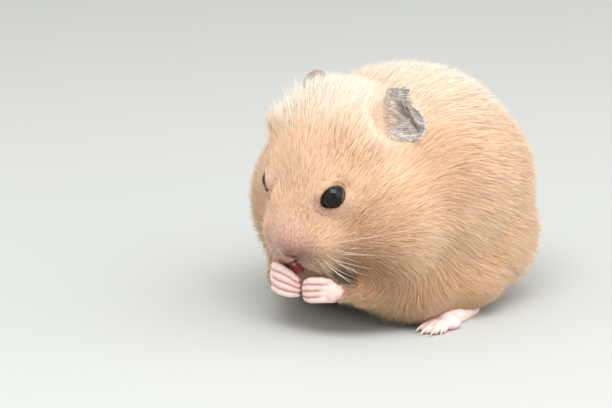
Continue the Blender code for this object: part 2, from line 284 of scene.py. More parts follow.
def keep(data, name, values, kind="FLOAT", domain="POINT"):
    """Write values onto a mesh under a name."""
    layer = data.attributes.new(name, kind, domain)
    number = np.int32 if kind == "INT" else np.float32
    label = "vector" if kind == "FLOAT_VECTOR" else "value"
    layer.data.foreach_set(label, np.asarray(values).astype(number).ravel())


def remove_with_mesh(thing):
    """Take an object and its mesh out of the file."""
    data = thing.data
    bpy.data.objects.remove(thing)
    bpy.data.meshes.remove(data)


def settled(thing):
    """The mesh of an object with its modifiers applied."""
    depsgraph = bpy.context.evaluated_depsgraph_get()
    return bpy.data.meshes.new_from_object(thing.evaluated_get(depsgraph), depsgraph=depsgraph)


def set_tree(thing, tree, values):
    """Give an object a Geometry Nodes tree and set its inputs by their identifiers."""
    modifier = thing.modifiers.new(tree.name, "NODES")
    modifier.node_group = tree
    for item in tree.interface.items_tree:
        if item.item_type == "SOCKET" and item.name in values:
            modifier[item.identifier] = values[item.name]


def fused(mesh, voxel, rounds):
    """Forms in millimetres, fused by a voxel remesh and smoothed."""
    bmesh.ops.scale(mesh, vec=(MM, MM, MM), verts=mesh.verts)
    data = bpy.data.meshes.new("forms")
    mesh.to_mesh(data)
    mesh.free()
    thing = add_object("forms", data)
    remesh = thing.modifiers.new("fuse", "REMESH")
    remesh.mode = "VOXEL"
    remesh.voxel_size = voxel * MM
    data = settled(thing)
    remove_with_mesh(thing)
    shell = shell_of(data)
    bpy.data.meshes.remove(data)
    shell.smooth(rounds)
    return shell


def add_ball(mesh, centre, radii, turn=None):
    """An ellipsoid in millimetres."""
    place = Matrix.Translation(Vector(centre)) @ (turn or Matrix.Identity(4))
    place = place @ Matrix.Diagonal((*radii, 1.0))
    bmesh.ops.create_icosphere(mesh, subdivisions=3, radius=1.0, matrix=place)


def add_limb(mesh, points, radii, beads=7):
    """A rounded limb: close balls along points, their radii easing from one to the next."""
    for start, end, first, last in zip(points, points[1:], radii, radii[1:]):
        for along in np.linspace(0.0, 1.0, beads + 1):
            radius = first + (last - first) * along
            add_ball(mesh, np.asarray(start) * (1 - along) + np.asarray(end) * along, (radius,) * 3)


# ---------------------------------------------------------------- the coat's lie

BODY_HAIR = 5.6
FROM_WHORL = (1.6, 4.0, 8.0, 14.0, 22.0, 30.0)   # distances over the face, and the hair's length there
HEAD_HAIR = (0.6, 1.4, 2.2, 2.9, 3.8, 5.0)
NO_LIMIT = 20.0
CREST = np.array((9.4, 16.2, 9.2))               # in the skull's frame, before the left ear
CREST_RADIUS = 6.5
WISP_RADIUS = 5.4                                # the long wisps before the right ear
PAD_EDGE = np.array((0.8, -0.6, -4.2))           # from a whisker pad's middle to its lower edge
PAD_EDGE_RADIUS = 3.4


def arm_line(side):
    """Elbow and wrist."""
    return mirrored(ELBOW, side), from_paws(mirrored(WRIST, side))


def from_foot(points, side):
    """Distance from the line of a hind foot."""
    return from_line(points, mirrored(HEEL, side), mirrored(BALL, side))


def from_tail(points):
    """Distance from the line of the tail."""
    return from_line(points, TAIL_ROOT, TAIL_ROOT + (0.0, TAIL_LENGTH, 0.0))


def head_share(points):
    """1 on the head, 0 on the body."""
    return ease(apart(to_skull(points), SKULL_CENTRE), 29.0, 20.5)


def bare_limits(points):
    """The most that the hair may measure near eyes, ears, wrists, feet and tail."""
    limit = np.full(len(points), NO_LIMIT)
    for side in (1, -1):
        eye = apart(points, EYE_MIDDLE[side])
        limit = np.minimum(limit, 1.15 + 0.95 * np.maximum(eye - 3.2, 0))
        limit = np.minimum(limit, 0.8 + 0.45 * apart(points, eye_hollow(side)))
        ear = apart(points, from_skull(mirrored(EAR_ROOT, side)))
        limit = np.minimum(limit, 2.3 + (0.40 if side > 0 else 0.65) * np.maximum(ear - 3.5, 0))
        limit = np.minimum(limit, 2.6 + 0.60 * np.maximum(apart(points, arm_line(side)[1]) - 2.5, 0))
        limit = np.minimum(limit, 1.6 + 0.50 * np.maximum(from_foot(points, side) - 3.5, 0))
    return np.minimum(limit, 2.2 + 0.6 * np.maximum(from_tail(points) - 2.5, 0))


def crest_share(points, side=None):
    """1 where the hair of the crown stands up, on both sides or within the wisps of one side."""
    spots = [mirrored(CREST, each) for each in (1, -1) if side in (None, each)]
    crown = np.min([apart(to_skull(points), spot) for spot in spots], axis=0)
    return np.exp(-(crown / (CREST_RADIUS if side is None else WISP_RADIUS)) ** 2)


def lip_share(points):
    """1 at the lower edge of the whisker pads, where the hair hangs."""
    skull = to_skull(points)
    edge = np.min([apart(skull, mirrored(PAD + PAD_EDGE, side)) for side in (1, -1)], axis=0)
    return np.exp(-(edge / PAD_EDGE_RADIUS) ** 2)


def coat_length(points):
    """Length of the hair in millimetres."""
    muzzle = apart(to_skull(points), WHORL)
    on_head = np.interp(muzzle, FROM_WHORL, HEAD_HAIR)
    share = head_share(points)
    length = share * on_head + (1 - share) * BODY_HAIR
    length = length + 1.2 * crest_share(points) + 1.6 * lip_share(points) + 5.0 * crest_share(points, -1)
    return np.minimum(length, bare_limits(points))


def coat_lie(points):
    """Which way the hair runs, before it is laid along the skin."""
    share = head_share(points)[:, None]
    from_nose = unit(to_skull(points) - WHORL) @ SKULL.T
    lie = share * from_nose + (1 - share) * unit((0.0, 1.0, -0.55))
    for side in (1, -1):
        elbow, wrist = arm_line(side)
        near = np.exp(-(from_line(points, elbow, wrist) / 5.5) ** 2)[:, None]
        lie = lie + 3.0 * near * (1 - share) * unit(wrist - elbow)
        near = np.exp(-(from_foot(points, side) / 5.0) ** 2)[:, None]
        lie = lie + 2.0 * near * unit((0.15 * side, -0.6, -0.8))
    lie = lie + 1.8 * lip_share(points)[:, None] * np.array((0.1, -0.3, -0.9))
    near = np.exp(-(from_tail(points) / 4.0) ** 2)[:, None]
    return lie + 2.0 * near * np.array((0.0, 1.0, 0.0))


# ---------------------------------------------------------------- skin

GAP_CLOSING = 0.28   # flesh nodes are swollen by this much, so that they touch
LAIN_SHARE = 0.30    # the skin lies below the flesh by this share of the hair's length
FLOOR_GAP = 0.02
VOXELS = {"body": 0.60, "mouth": 0.25, "nose": 0.17, "paw": 0.21, "foot": 0.34}
FUSED = ("head", "neck", "trunk", "foreleg_left", "foreleg_right", "hindleg_left", "hindleg_right", "tail")
REMADE = ("nose", "forepaw_left", "forepaw_right", "hindfoot_left", "hindfoot_right", "ear_left", "ear_right")


def add_flesh(mesh):
    """The nodes of flesh, swollen until they touch."""
    for node in FUSED:
        piece = bmesh.new()
        piece.from_mesh(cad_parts[node].data)
        bmesh.ops.remove_doubles(piece, verts=piece.verts, dist=MM * 0.005)
        bmesh.ops.scale(piece, vec=(1 / MM,) * 3, verts=piece.verts)
        piece.normal_update()
        for vert in piece.verts:
            vert.co += vert.normal * GAP_CLOSING
        held = bpy.data.meshes.new("held")
        piece.to_mesh(held)
        piece.free()
        mesh.from_mesh(held)
        bpy.data.meshes.remove(held)


def add_padding(mesh):
    """Flesh under the ears' roots, the wrists, the hind feet and the muzzle, which they grow out of."""
    for side in (1, -1):
        add_ball(mesh, from_skull(mirrored(EAR_ROOT + (-2.2, -1.2, -1.6), side)), (3.6, 3.6, 4.2))
        add_ball(mesh, from_paws(mirrored(WRIST + (0.8, 1.5, 0.1), side)), (2.5, 2.5, 2.3))
        add_limb(mesh, [mirrored(HEEL, side), mirrored(BALL, side)], (2.2, 1.4))
    add_ball(mesh, from_skull((0.0, -12.0, -7.4)), (3.0, 2.2, 2.4))
    add_ball(mesh, from_skull((0.2, -11.4, -12.6)), (2.5, 2.5, 2.6))
    for side in (1, -1):
        add_ball(mesh, from_skull((2.3 * side, -11.6, -10.9)), (2.4, 2.4, 2.5))


def coat_depth(verts, eye):
    """How far the skin lies below the flesh's surface: less near the eyes, more in the hollows by them."""
    length = coat_length(verts)
    lain = np.where(length > 0.9, LAIN_SHARE * np.minimum(length, 5.0), 0.15)
    depth = GAP_CLOSING + lain * ease(eye, 4.0, 9.0) + 0.40 * (1 - ease(eye, 3.6, 4.6))
    for side in (1, -1):
        depth += 0.7 * np.exp(-(apart(verts, eye_hollow(side)) / 2.6) ** 2)
    return depth + 1.3 * np.exp(-(apart(to_skull(verts), RIGHT_BRIDGE) / 2.8) ** 2)


def body_skin():
    """Flesh fused into one form, smoothed, and drawn in by the depth of the coat."""
    mesh = bmesh.new()
    add_flesh(mesh)
    add_padding(mesh)
    shell = fused(mesh, VOXELS["body"], 2)
    eye = np.minimum(apart(shell.verts, EYE_MIDDLE[1]), apart(shell.verts, EYE_MIDDLE[-1]))
    away = ease(eye, 3.5, 6.0)
    broad = away * ease(apart(to_skull(shell.verts), NOSE_TIP), 9.0, 16.0)
    for side in (1, -1):
        broad = broad * ease(from_line(shell.verts, *arm_line(side)), 4.0, 9.0)
    shell.smooth(8, 0.6 * away)
    shell.smooth(36, 0.6 * broad)
    shell.verts -= shell.normals() * coat_depth(shell.verts, eye)[:, None]
    for side in (1, -1):
        sink_dish(shell, side)
        raise_rim(shell, side)
    shell.smooth(6, 0.5 * away)
    lip = from_line(to_skull(shell.verts), NOSE_TIP + (0.0, 0.0, -1.5), NOSE_TIP + (0.0, 2.2, -8.0))
    near = 1 - ease(lip, 0.5, 1.1)
    shell.marks["bare"] = near
    shell.marks["red"] = 0.8 * near
    return shell


def sink_dish(shell, side):
    """Draw the skin back round an ear's root, so that the ear's cup lies open."""
    axes = ear_axes(side)
    local = (shell.verts - EAR_MIDDLE[side]) @ axes.T - EAR_SHIFT[side]
    aside = np.hypot(local[:, 0] - EAR_HEART[0], local[:, 1] - EAR_HEART[1])
    allowed = -2.3 + 0.055 * aside ** 2
    reach = 10.5 if side > 0 else 6.5
    over = local[:, 2] - allowed
    over = 0.5 * (over + np.hypot(over, 1.3)) * (1 - ease(aside, reach - 5.0, reach))
    shell.verts -= np.outer(over, axes[2])


def eye_hollow(side):
    """Middle of the slight hollow between the eye and the nose."""
    inner, _, out = eye_frame(side)
    return EYE_MIDDLE[side] + inner * 4.4 + out * 1.2


def eye_frame(side):
    """Rows: towards the inner corner, down across the opening, and out of the head."""
    out = unit(mirrored(EYE_AXIS, side))
    eye = mirrored(to_skull(EYE_MIDDLE[1]), side)
    inner = NOSE_TIP + (0.0, 0.0, 3.5) - eye
    inner = unit(inner - out * (inner @ out))
    down = np.cross(out, inner) * side
    return np.stack([inner, down, out]) @ SKULL.T


LID_SPAN = 2.65   # half the eye's opening from corner to corner, and across it
LID_RISE = 1.95
LID_WIDTH = 0.75  # the lid's outer edge, this far outside the opening
FAIRING = 4.4     # the skin rises to the eye's rim from this far outside the lid


def lid_line(corner, across):
    """How far the eye's opening reaches in a direction, and how high its edge lies over the eye's middle."""
    reach = 1 / np.hypot(corner / LID_SPAN, across / LID_RISE)
    reach = reach + 0.50 * np.maximum(corner, 0.0) ** 14
    return reach, np.sqrt(np.maximum((EYE_RADIUS + 0.02) ** 2 - np.minimum(reach, 2.8) ** 2, 0.35))


def raise_rim(shell, side):
    """Bring the skin up to the rim of the eye, so that the eye sits in the head and not on it."""
    axes = eye_frame(side)
    ground = shell.tree()
    local = (shell.verts - EYE_MIDDLE[side]) @ axes.T
    aside = np.hypot(local[:, 0], local[:, 1])
    for spot in np.flatnonzero((aside > 2.4) & (aside < 9.0) & (local[:, 2] > -3.0)):
        flat = local[spot, :2] / aside[spot]
        reach, height = lid_line(*flat)
        share = (aside[spot] - reach - LID_WIDTH) / FAIRING
        if -0.05 < share < 1:
            start = EYE_MIDDLE[side] + flat @ axes[:2] * (reach + LID_WIDTH + FAIRING) + axes[2] * 9.0
            hit = ground.ray_cast(Vector(start), Vector(-axes[2]))[0]
            foot = (np.array(hit) - EYE_MIDDLE[side]) @ axes[2] if hit else 0.0
            low = 0.45 if side > 0 else 0.45 + 1.0 * max(flat[0], 0.0)
            wanted = foot + (height - low - foot) * (1 - share) ** 1.2
            shell.verts[spot] += axes[2] * max(wanted - local[spot, 2], 0.0)


def make_lids(side, ground):
    """The dark rim of the eye and the collar of skin that carries it down to the head."""
    inner, down, out = eye_frame(side)
    around = np.linspace(0, 2 * math.pi, 56, endpoint=False)
    corner = np.cos(around)
    reach, on_ball = lid_line(corner, np.sin(around))
    flat = np.outer(corner, inner) + np.outer(np.sin(around), down)
    rows, dark = [], []
    # Each ring: how far outside the opening, how far above the eyeball, and how dark.
    for wider, higher, shade in (
        (-0.10, -0.10, 1.0), (0.0, 0.06, 1.0), (0.10, 0.15, 1.0), (0.26, 0.14, 1.0),
        (0.45, -0.02, 0.7), (LID_WIDTH, -0.32, 0.15),
    ):
        rows.append(EYE_MIDDLE[side] + flat * (reach + wider)[:, None] + np.outer(on_ball + higher, out))
        dark.append(np.full(len(around), shade))
    last = rows[-1]
    feet = []
    for way, length in zip(flat, reach):
        foot = EYE_MIDDLE[side] + way * (length + 1.9)
        hit = ground.ray_cast(Vector(foot + out * 6.0), Vector(-out))[0]
        feet.append(np.array(hit) - out * 0.25 if hit else foot)
    feet = np.array(feet)
    for share in (0.33, 0.67, 1.0):
        rows.append(last + (feet - last) * share)
        dark.append(np.zeros(len(around)))
    for under in (rows[-1] - out * 0.8, rows[0] - out * 0.8):
        rows.append(under)
        dark.append(np.zeros(len(around)))
    shell = grid_shell(rows, flip=side > 0, ring=True)
    shell.marks["lid"] = np.concatenate(dark)
    return shell


# Each ear seen from in front of its cup, from its middle: away from the head, and up. The left is
# crumpled, with a notch in its rim, and the right stands open.
EAR_OUTLINE = {
    1: ((-5.0, 2.2), (-4.0, 3.9), (-3.7, 5.3), (-3.0, 6.0), (-1.3, 6.1), (0.2, 6.1), (0.7, 5.5), (0.45, 4.2),
        (0.35, 2.9), (1.6, 2.1), (3.0, 1.0), (4.0, -0.7), (4.4, -2.4), (3.8, -4.1), (2.5, -5.2),
        (0.6, -5.6), (-1.6, -5.3), (-3.8, -4.4), (-5.6, -1.2)),
    -1: ((-5.6, 2.2), (-4.0, 4.4), (-1.2, 5.7), (1.5, 5.4), (3.7, 4.0), (5.0, 1.6), (5.1, -1.0),
         (4.0, -3.4), (1.7, -5.0), (-1.2, -5.4), (-4.3, -4.2), (-6.0, -1.0)),
}
EAR_FACING = {1: np.array((0.72, -0.26, 0.645)), -1: np.array((-0.05, -0.60, 0.80))}
EAR_SHIFT = {1: np.array((0.0, 0.0, 3.3)), -1: np.array((0.9, 0.7, 2.2))}   # out, up and forward
EAR_HEART = np.array((-0.9, -0.2))
EAR_FOLD = ((-0.3, 3.0), (1.3, 0.7), (2.7, -2.0))
EAR_SLIT = ((1.3, -1.3), (2.5, -3.0))
EAR_WALL = 0.42
EAR_RINGS = 17


def ear_axes(side):
    """Rows: away from the head, up, and where the cup faces."""
    face = unit(EAR_FACING[side]) @ SKULL.T
    rise = unit(np.array((0.0, 0.0, 1.0)) - face * face[2])
    return np.stack([np.cross(rise, face) * side, rise, face])


def round_path(points, count):
    """A closed smooth curve through points."""
    points = np.asarray(points, float)
    before, after, beyond = (np.roll(points, shift, axis=0) for shift in (1, -1, -2))
    curve = []
    for share in np.linspace(0, 1, count, endpoint=False):
        curve.append(0.5 * (
            2 * points + share * (after - before)
            + share ** 2 * (2 * before - 5 * points + 4 * after - beyond)
            + share ** 3 * (3 * points - before - 3 * after + beyond)
        ))
    return np.stack(curve, axis=1).reshape(-1, 2)


def from_bent(points, path):
    """Distance of each point from a bent line."""
    path = np.asarray(path, float)
    return np.min([from_line(points, start, end) for start, end in zip(path, path[1:])], axis=0)


def ear_depth(flat, share, side):
    """How far forward the ear's front lies: a cup, folded and slit on the left, with a buried root."""
    depth = 1.1 * share ** 2 - 1.1
    if side > 0:
        depth = depth + 0.95 * np.exp(-(from_bent(flat, EAR_FOLD) / 0.50) ** 2)
        depth = depth - 0.80 * np.exp(-(from_bent(flat, EAR_SLIT) / 0.36) ** 2)
        depth = depth + 0.55 * ease(flat[:, 1], 2.2, 4.4) * ease(flat[:, 0], -4.0, -1.0)
    return depth - (1.5 if side > 0 else 2.6) * ease(flat[:, 0], -2.6, -6.0)


def make_ear_shell(side):
    """A thin cupped ear with a rounded rim; on the left, painted shade along its slit."""
    rim = round_path(EAR_OUTLINE[side], 5)
    axes = ear_axes(side)
    rows, slit = [], []
    shares = np.linspace(0.04, 1.0, EAR_RINGS)
    for share in shares:
        flat = EAR_HEART + (rim - EAR_HEART) * share
        rows.append(np.column_stack([flat, ear_depth(flat, share, side)]) @ axes)
        # Painted shade along the left ear's slit.
        slit.append(np.exp(-(from_bent(flat, EAR_SLIT) / 0.42) ** 2) * (side > 0))
    edge = EAR_HEART + (rim - EAR_HEART) * 1.03
    edge = np.column_stack([edge, ear_depth(rim, 1.0, side) - EAR_WALL / 2]) @ axes
    back = [row - axes[2] * EAR_WALL for row in rows[::-1]]
    home = EAR_MIDDLE[side] + EAR_SHIFT[side] @ axes
    shell = grid_shell(np.array(rows + [edge] + back) + home, flip=side < 0)
    # The right ear gets less grey than the left and a pale patch in the coat's colours over it: painted
    # light.
    most = 1.0 if side > 0 else 0.7
    outward = [EAR_HEART[0] + (rim[:, 0] - EAR_HEART[0]) * share for share in shares]
    ear = [most - 0.45 * most * ease(out, -2.0, -4.4) for out in outward]
    shell.marks["ear"] = np.concatenate([*ear, np.full(len(rim) * (EAR_RINGS + 1), most)])
    shell.marks["rim"] = np.repeat([*shares, 1.0, *shares[::-1]], len(rim))
    shell.marks["lid"][:len(rim) * len(shares)] = np.concatenate(slit)
    return shell


def make_mouth():
    """The lips, pushed forward into the hands."""
    mesh = bmesh.new()
    add_limb(mesh, [(-0.9, -12.6, -10.4), (-0.7, -14.1, -12.7)], (1.3, 0.8))
    add_limb(mesh, [(0.7, -12.6, -10.4), (0.3, -14.2, -13.0)], (1.25, 0.6))
    shell = fused(mesh, VOXELS["mouth"], 4)
    shell.marks["bare"] += 1.0
    shell.marks["red"] = 1.0 - 0.45 * ease(shell.verts[:, 2], -11.8, -13.4)
    # Painted shade: the lips darker towards their top, under the muzzle.
    shell.marks["lid"] = 0.10 + 0.45 * ease(shell.verts[:, 2], -12.6, -10.6)
    shell.verts = from_skull(shell.verts)
    return shell


def make_nose():
    """Small nose pad with comma-shaped nostrils and the cleft below."""
    mesh = bmesh.new()
    pads = [((0.0, -13.1, -8.2), (1.5, 1.5, 1.2)), ((0.0, -12.9, -9.7), (0.8, 1.2, 1.5))]
    for side in (1, -1):
        pads.append(((0.95 * side, -13.0, -8.5), (1.15, 1.4, 1.15)))
    for centre, radii in pads:
        add_ball(mesh, centre, radii)
    shell = fused(mesh, VOXELS["nose"], 5)
    where = shell.verts
    sunk = np.zeros(len(where))
    for side in (1, -1):
        for centre, radius in (((0.95, -14.3, -8.9), 1.25), ((1.70, -13.8, -8.4), 0.75)):
            near = apart(where, mirrored(centre, side)) / radius
            sunk = np.maximum(sunk, 1 - ease(near, 0.35, 1.15))
    cleft = np.exp(-(where[:, 0] / 0.20) ** 2) * ease(where[:, 2], -8.4, -9.2)
    shell.verts = from_skull(where + np.outer(0.45 * sunk + 0.20 * cleft, (0.0, 1.0, 0.15)))
    shell.marks["bare"] = np.clip(0.25 + sunk * 2 + cleft, 0, 1)
    shell.marks["red"] = np.clip(0.16 + 1.3 * sunk + 0.7 * cleft, 0, 1)
    # Painted shade: the nostrils darkened towards near black in their openings.
    shell.marks["lid"] = 0.80 * sunk ** 1.5
    return shell


def finger_route(side, index):
    """Points along one of the four fingers, from the palm to the tip."""
    route = np.array(FINGERS[side])
    route[:, 2] += PAW_HEIGHT - np.array(FINGER_SPREADS[side]) * (index - 1.5)
    route[1:, 0] += np.array((0.05, 0.12, 0.18, 0.24)) * side * abs(index - 1.3)
    route[2:4, 1] += 0.22 * abs(index - 1.3)
    return from_paws(route)


def make_paw(side):
    """Hand raised to the mouth: palm, four fingers curled inwards and the furred wrist."""
    mesh = bmesh.new()
    palm = from_paws(PALM[side])
    wrist = from_paws(mirrored(WRIST + (1.0, 1.8, 0.2), side))
    add_ball(mesh, palm, (2.2, 1.9, 2.5 if side > 0 else 2.9))
    add_limb(mesh, [palm, wrist], (1.9, 1.5), beads=8)
    routes = [finger_route(side, index) for index in range(FINGER_COUNT)]
    for route in routes:
        add_limb(mesh, list(route), FINGER_RADII, beads=8)
    shell = fused(mesh, VOXELS["paw"], 4)
    near = np.sort([from_bent(shell.verts, route[1:]) for route in routes], axis=0)
    crease = np.exp(-((near[1] - near[0]) / 0.34) ** 2) * ease(apart(shell.verts, palm), 2.2, 3.6)
    along = from_line(shell.verts, palm, wrist)
    past = (shell.verts - palm) @ unit(wrist - palm)
    crease = crease * (1 - ease(past, 0.2, 1.6))
    furred = ease(past, 2.6, 4.4) if side > 0 else ease(past, 1.3, 2.6)
    shell.marks["bare"] += 1.0 - furred * (1 - ease(along, 2.2, 3.0))
    shell.marks["red"] = 0.03 + 0.72 * crease
    return shell


def toe(side, index):
    """Root and tip of one of the five toes of a hind foot."""
    spread = math.radians(-32 + 16 * index)
    reach = 6.6 - 0.55 * (index - 2) ** 2
    way = np.array((math.sin(spread), -math.cos(spread), 0.0))
    tip = BALL + way * reach + (0.0, 0.0, -0.45)
    root = BALL + (math.sin(spread) * 2.2, -1.0, 0.0)
    return mirrored(root, side), mirrored(tip, side)


def make_foot(side):
    """Long hind foot, its sole flat on the floor."""
    mesh = bmesh.new()
    add_limb(mesh, [mirrored(HEEL, side), mirrored(BALL, side)], (2.45, 2.4), beads=8)
    add_ball(mesh, mirrored(BALL, side), (3.8, 3.1, 1.85))
    for index in range(TOES):
        root, tip = toe(side, index)
        knuckle = (root + tip) / 2 + (0.0, 0.0, 0.35)
        add_limb(mesh, [root, knuckle, tip], (1.25, 1.1, 0.95), beads=6)
    shell = fused(mesh, VOXELS["foot"], 3)
    shell.verts[:, 2] = np.maximum(shell.verts[:, 2], FLOOR_GAP)
    shell.marks["bare"] += 1.0
    shell.marks["red"] = np.clip(shell.hollowness() * 18.0, 0, 1)
    return shell


def make_skin(finish):
    """Every bare and furred surface of the animal, as one piece."""
    body = body_skin()
    ground = body.tree()
    parts = [body]
    for side in (1, -1):
        parts += [make_lids(side, ground), make_ear_shell(side), make_paw(side), make_foot(side)]
    parts += [make_nose(), make_mouth()]
    whole = joined(parts)
    whole.verts[:, 2] = np.maximum(whole.verts[:, 2], FLOOR_GAP)
    skin = put("skin", whole.mesh("skin"), finish)
    for name in MARKS:
        keep(skin.data, name, whole.marks[name])
    unwrap(skin)
    return skin, whole, ground


def unwrap(thing):
    """Lay the skin out flat, in pieces cut by its own shape."""
    bpy.context.view_layer.objects.active = thing
    thing.select_set(True)
    bpy.ops.object.mode_set(mode="EDIT")
    bpy.ops.mesh.select_all(action="SELECT")
    bpy.ops.uv.smart_project(angle_limit=math.radians(70), island_margin=0.002)
    bpy.ops.object.mode_set(mode="OBJECT")
    thing.select_set(False)
    thing.data.uv_layers.active.name = "hide"


# ---------------------------------------------------------------- node groups

def new_group(name, kind, sockets):
    """An empty node group; sockets are (INPUT or OUTPUT, label, type, default value or None)."""
    group = bpy.data.node_groups.new(name, kind)
    for where, label, socket, value in sockets:
        made = group.interface.new_socket(label, in_out=where, socket_type="NodeSocket" + socket)
        if value is not None:
            made.default_value = value
    return group


def wire(group, kind, inputs=(), result=None, **settings):
    """Add a node, set it, feed its open inputs in order or by name, and give back one output."""
    made = group.nodes.new(kind)
    for key, value in settings.items():
        setattr(made, key, value)
    open_inputs = [socket for socket in made.inputs if socket.enabled]
    by_name = {socket.name: socket for socket in reversed(open_inputs)}
    fed = inputs.items() if isinstance(inputs, dict) else enumerate(inputs)
    for key, value in fed:
        socket = by_name[key] if isinstance(key, str) else open_inputs[key]
        if isinstance(value, bpy.types.NodeSocket):
            group.links.new(value, socket)
        else:
            socket.default_value = value
    return next(socket for socket in made.outputs if socket.enabled and result in (None, socket.name))


def sums(group, operation, *inputs):
    """A Math node."""
    return wire(group, "ShaderNodeMath", inputs, operation=operation)


def vectors(group, operation, *inputs):
    """A Vector Math node."""
    return wire(group, "ShaderNodeVectorMath", inputs, operation=operation)


def named(group, name, kind="FLOAT"):
    """A named attribute of the geometry."""
    return wire(group, "GeometryNodeInputNamedAttribute", [name], data_type=kind)


def stored(group, geometry, name, value, kind="FLOAT", domain="POINT"):
    """The geometry with a value kept on it."""
    return wire(group, "GeometryNodeStoreNamedAttribute",
                {"Geometry": geometry, "Name": name, "Value": value}, data_type=kind, domain=domain)


def between(group, low, high, seed, kind="FLOAT"):
    """A random value for each element."""
    return wire(group, "FunctionNodeRandomValue", {"Min": low, "Max": high, "Seed": seed}, data_type=kind)


# ---------------------------------------------------------------- coat

TUFT_FLATNESS = 0.45  # a tuft's thickness, as a share of its breadth


def make_tuft():
    """One tuft a unit long: a three-sided spike with a closed root."""
    verts = [(0.0, -0.5, 0.0), (0.0, 0.5, 0.0), (0.0, 0.0, TUFT_FLATNESS), (1.0, 0.0, 0.0)]
    faces = [(0, 2, 1), (0, 1, 3), (1, 2, 3), (2, 0, 3)]
    data = bpy.data.meshes.new("tuft")
    data.from_pydata(verts, [], faces)
    data.shade_smooth()
    keep(data, "along", [vert[0] for vert in verts])
    flat = data.uv_layers.new(name="tuft_uv")
    corners = [(0.3, 0.0), (0.5, 0.1), (0.7, 0.0)]
    for side in range(3):
        left = side / 3
        corners += [(left, 0.1), (left + 1 / 3, 0.1), (left + 1 / 6, 1.0)]
    flat.data.foreach_set("uv", [value for corner in corners for value in corner])
    return put("tuft", data, bpy.data.materials.new("unused"))


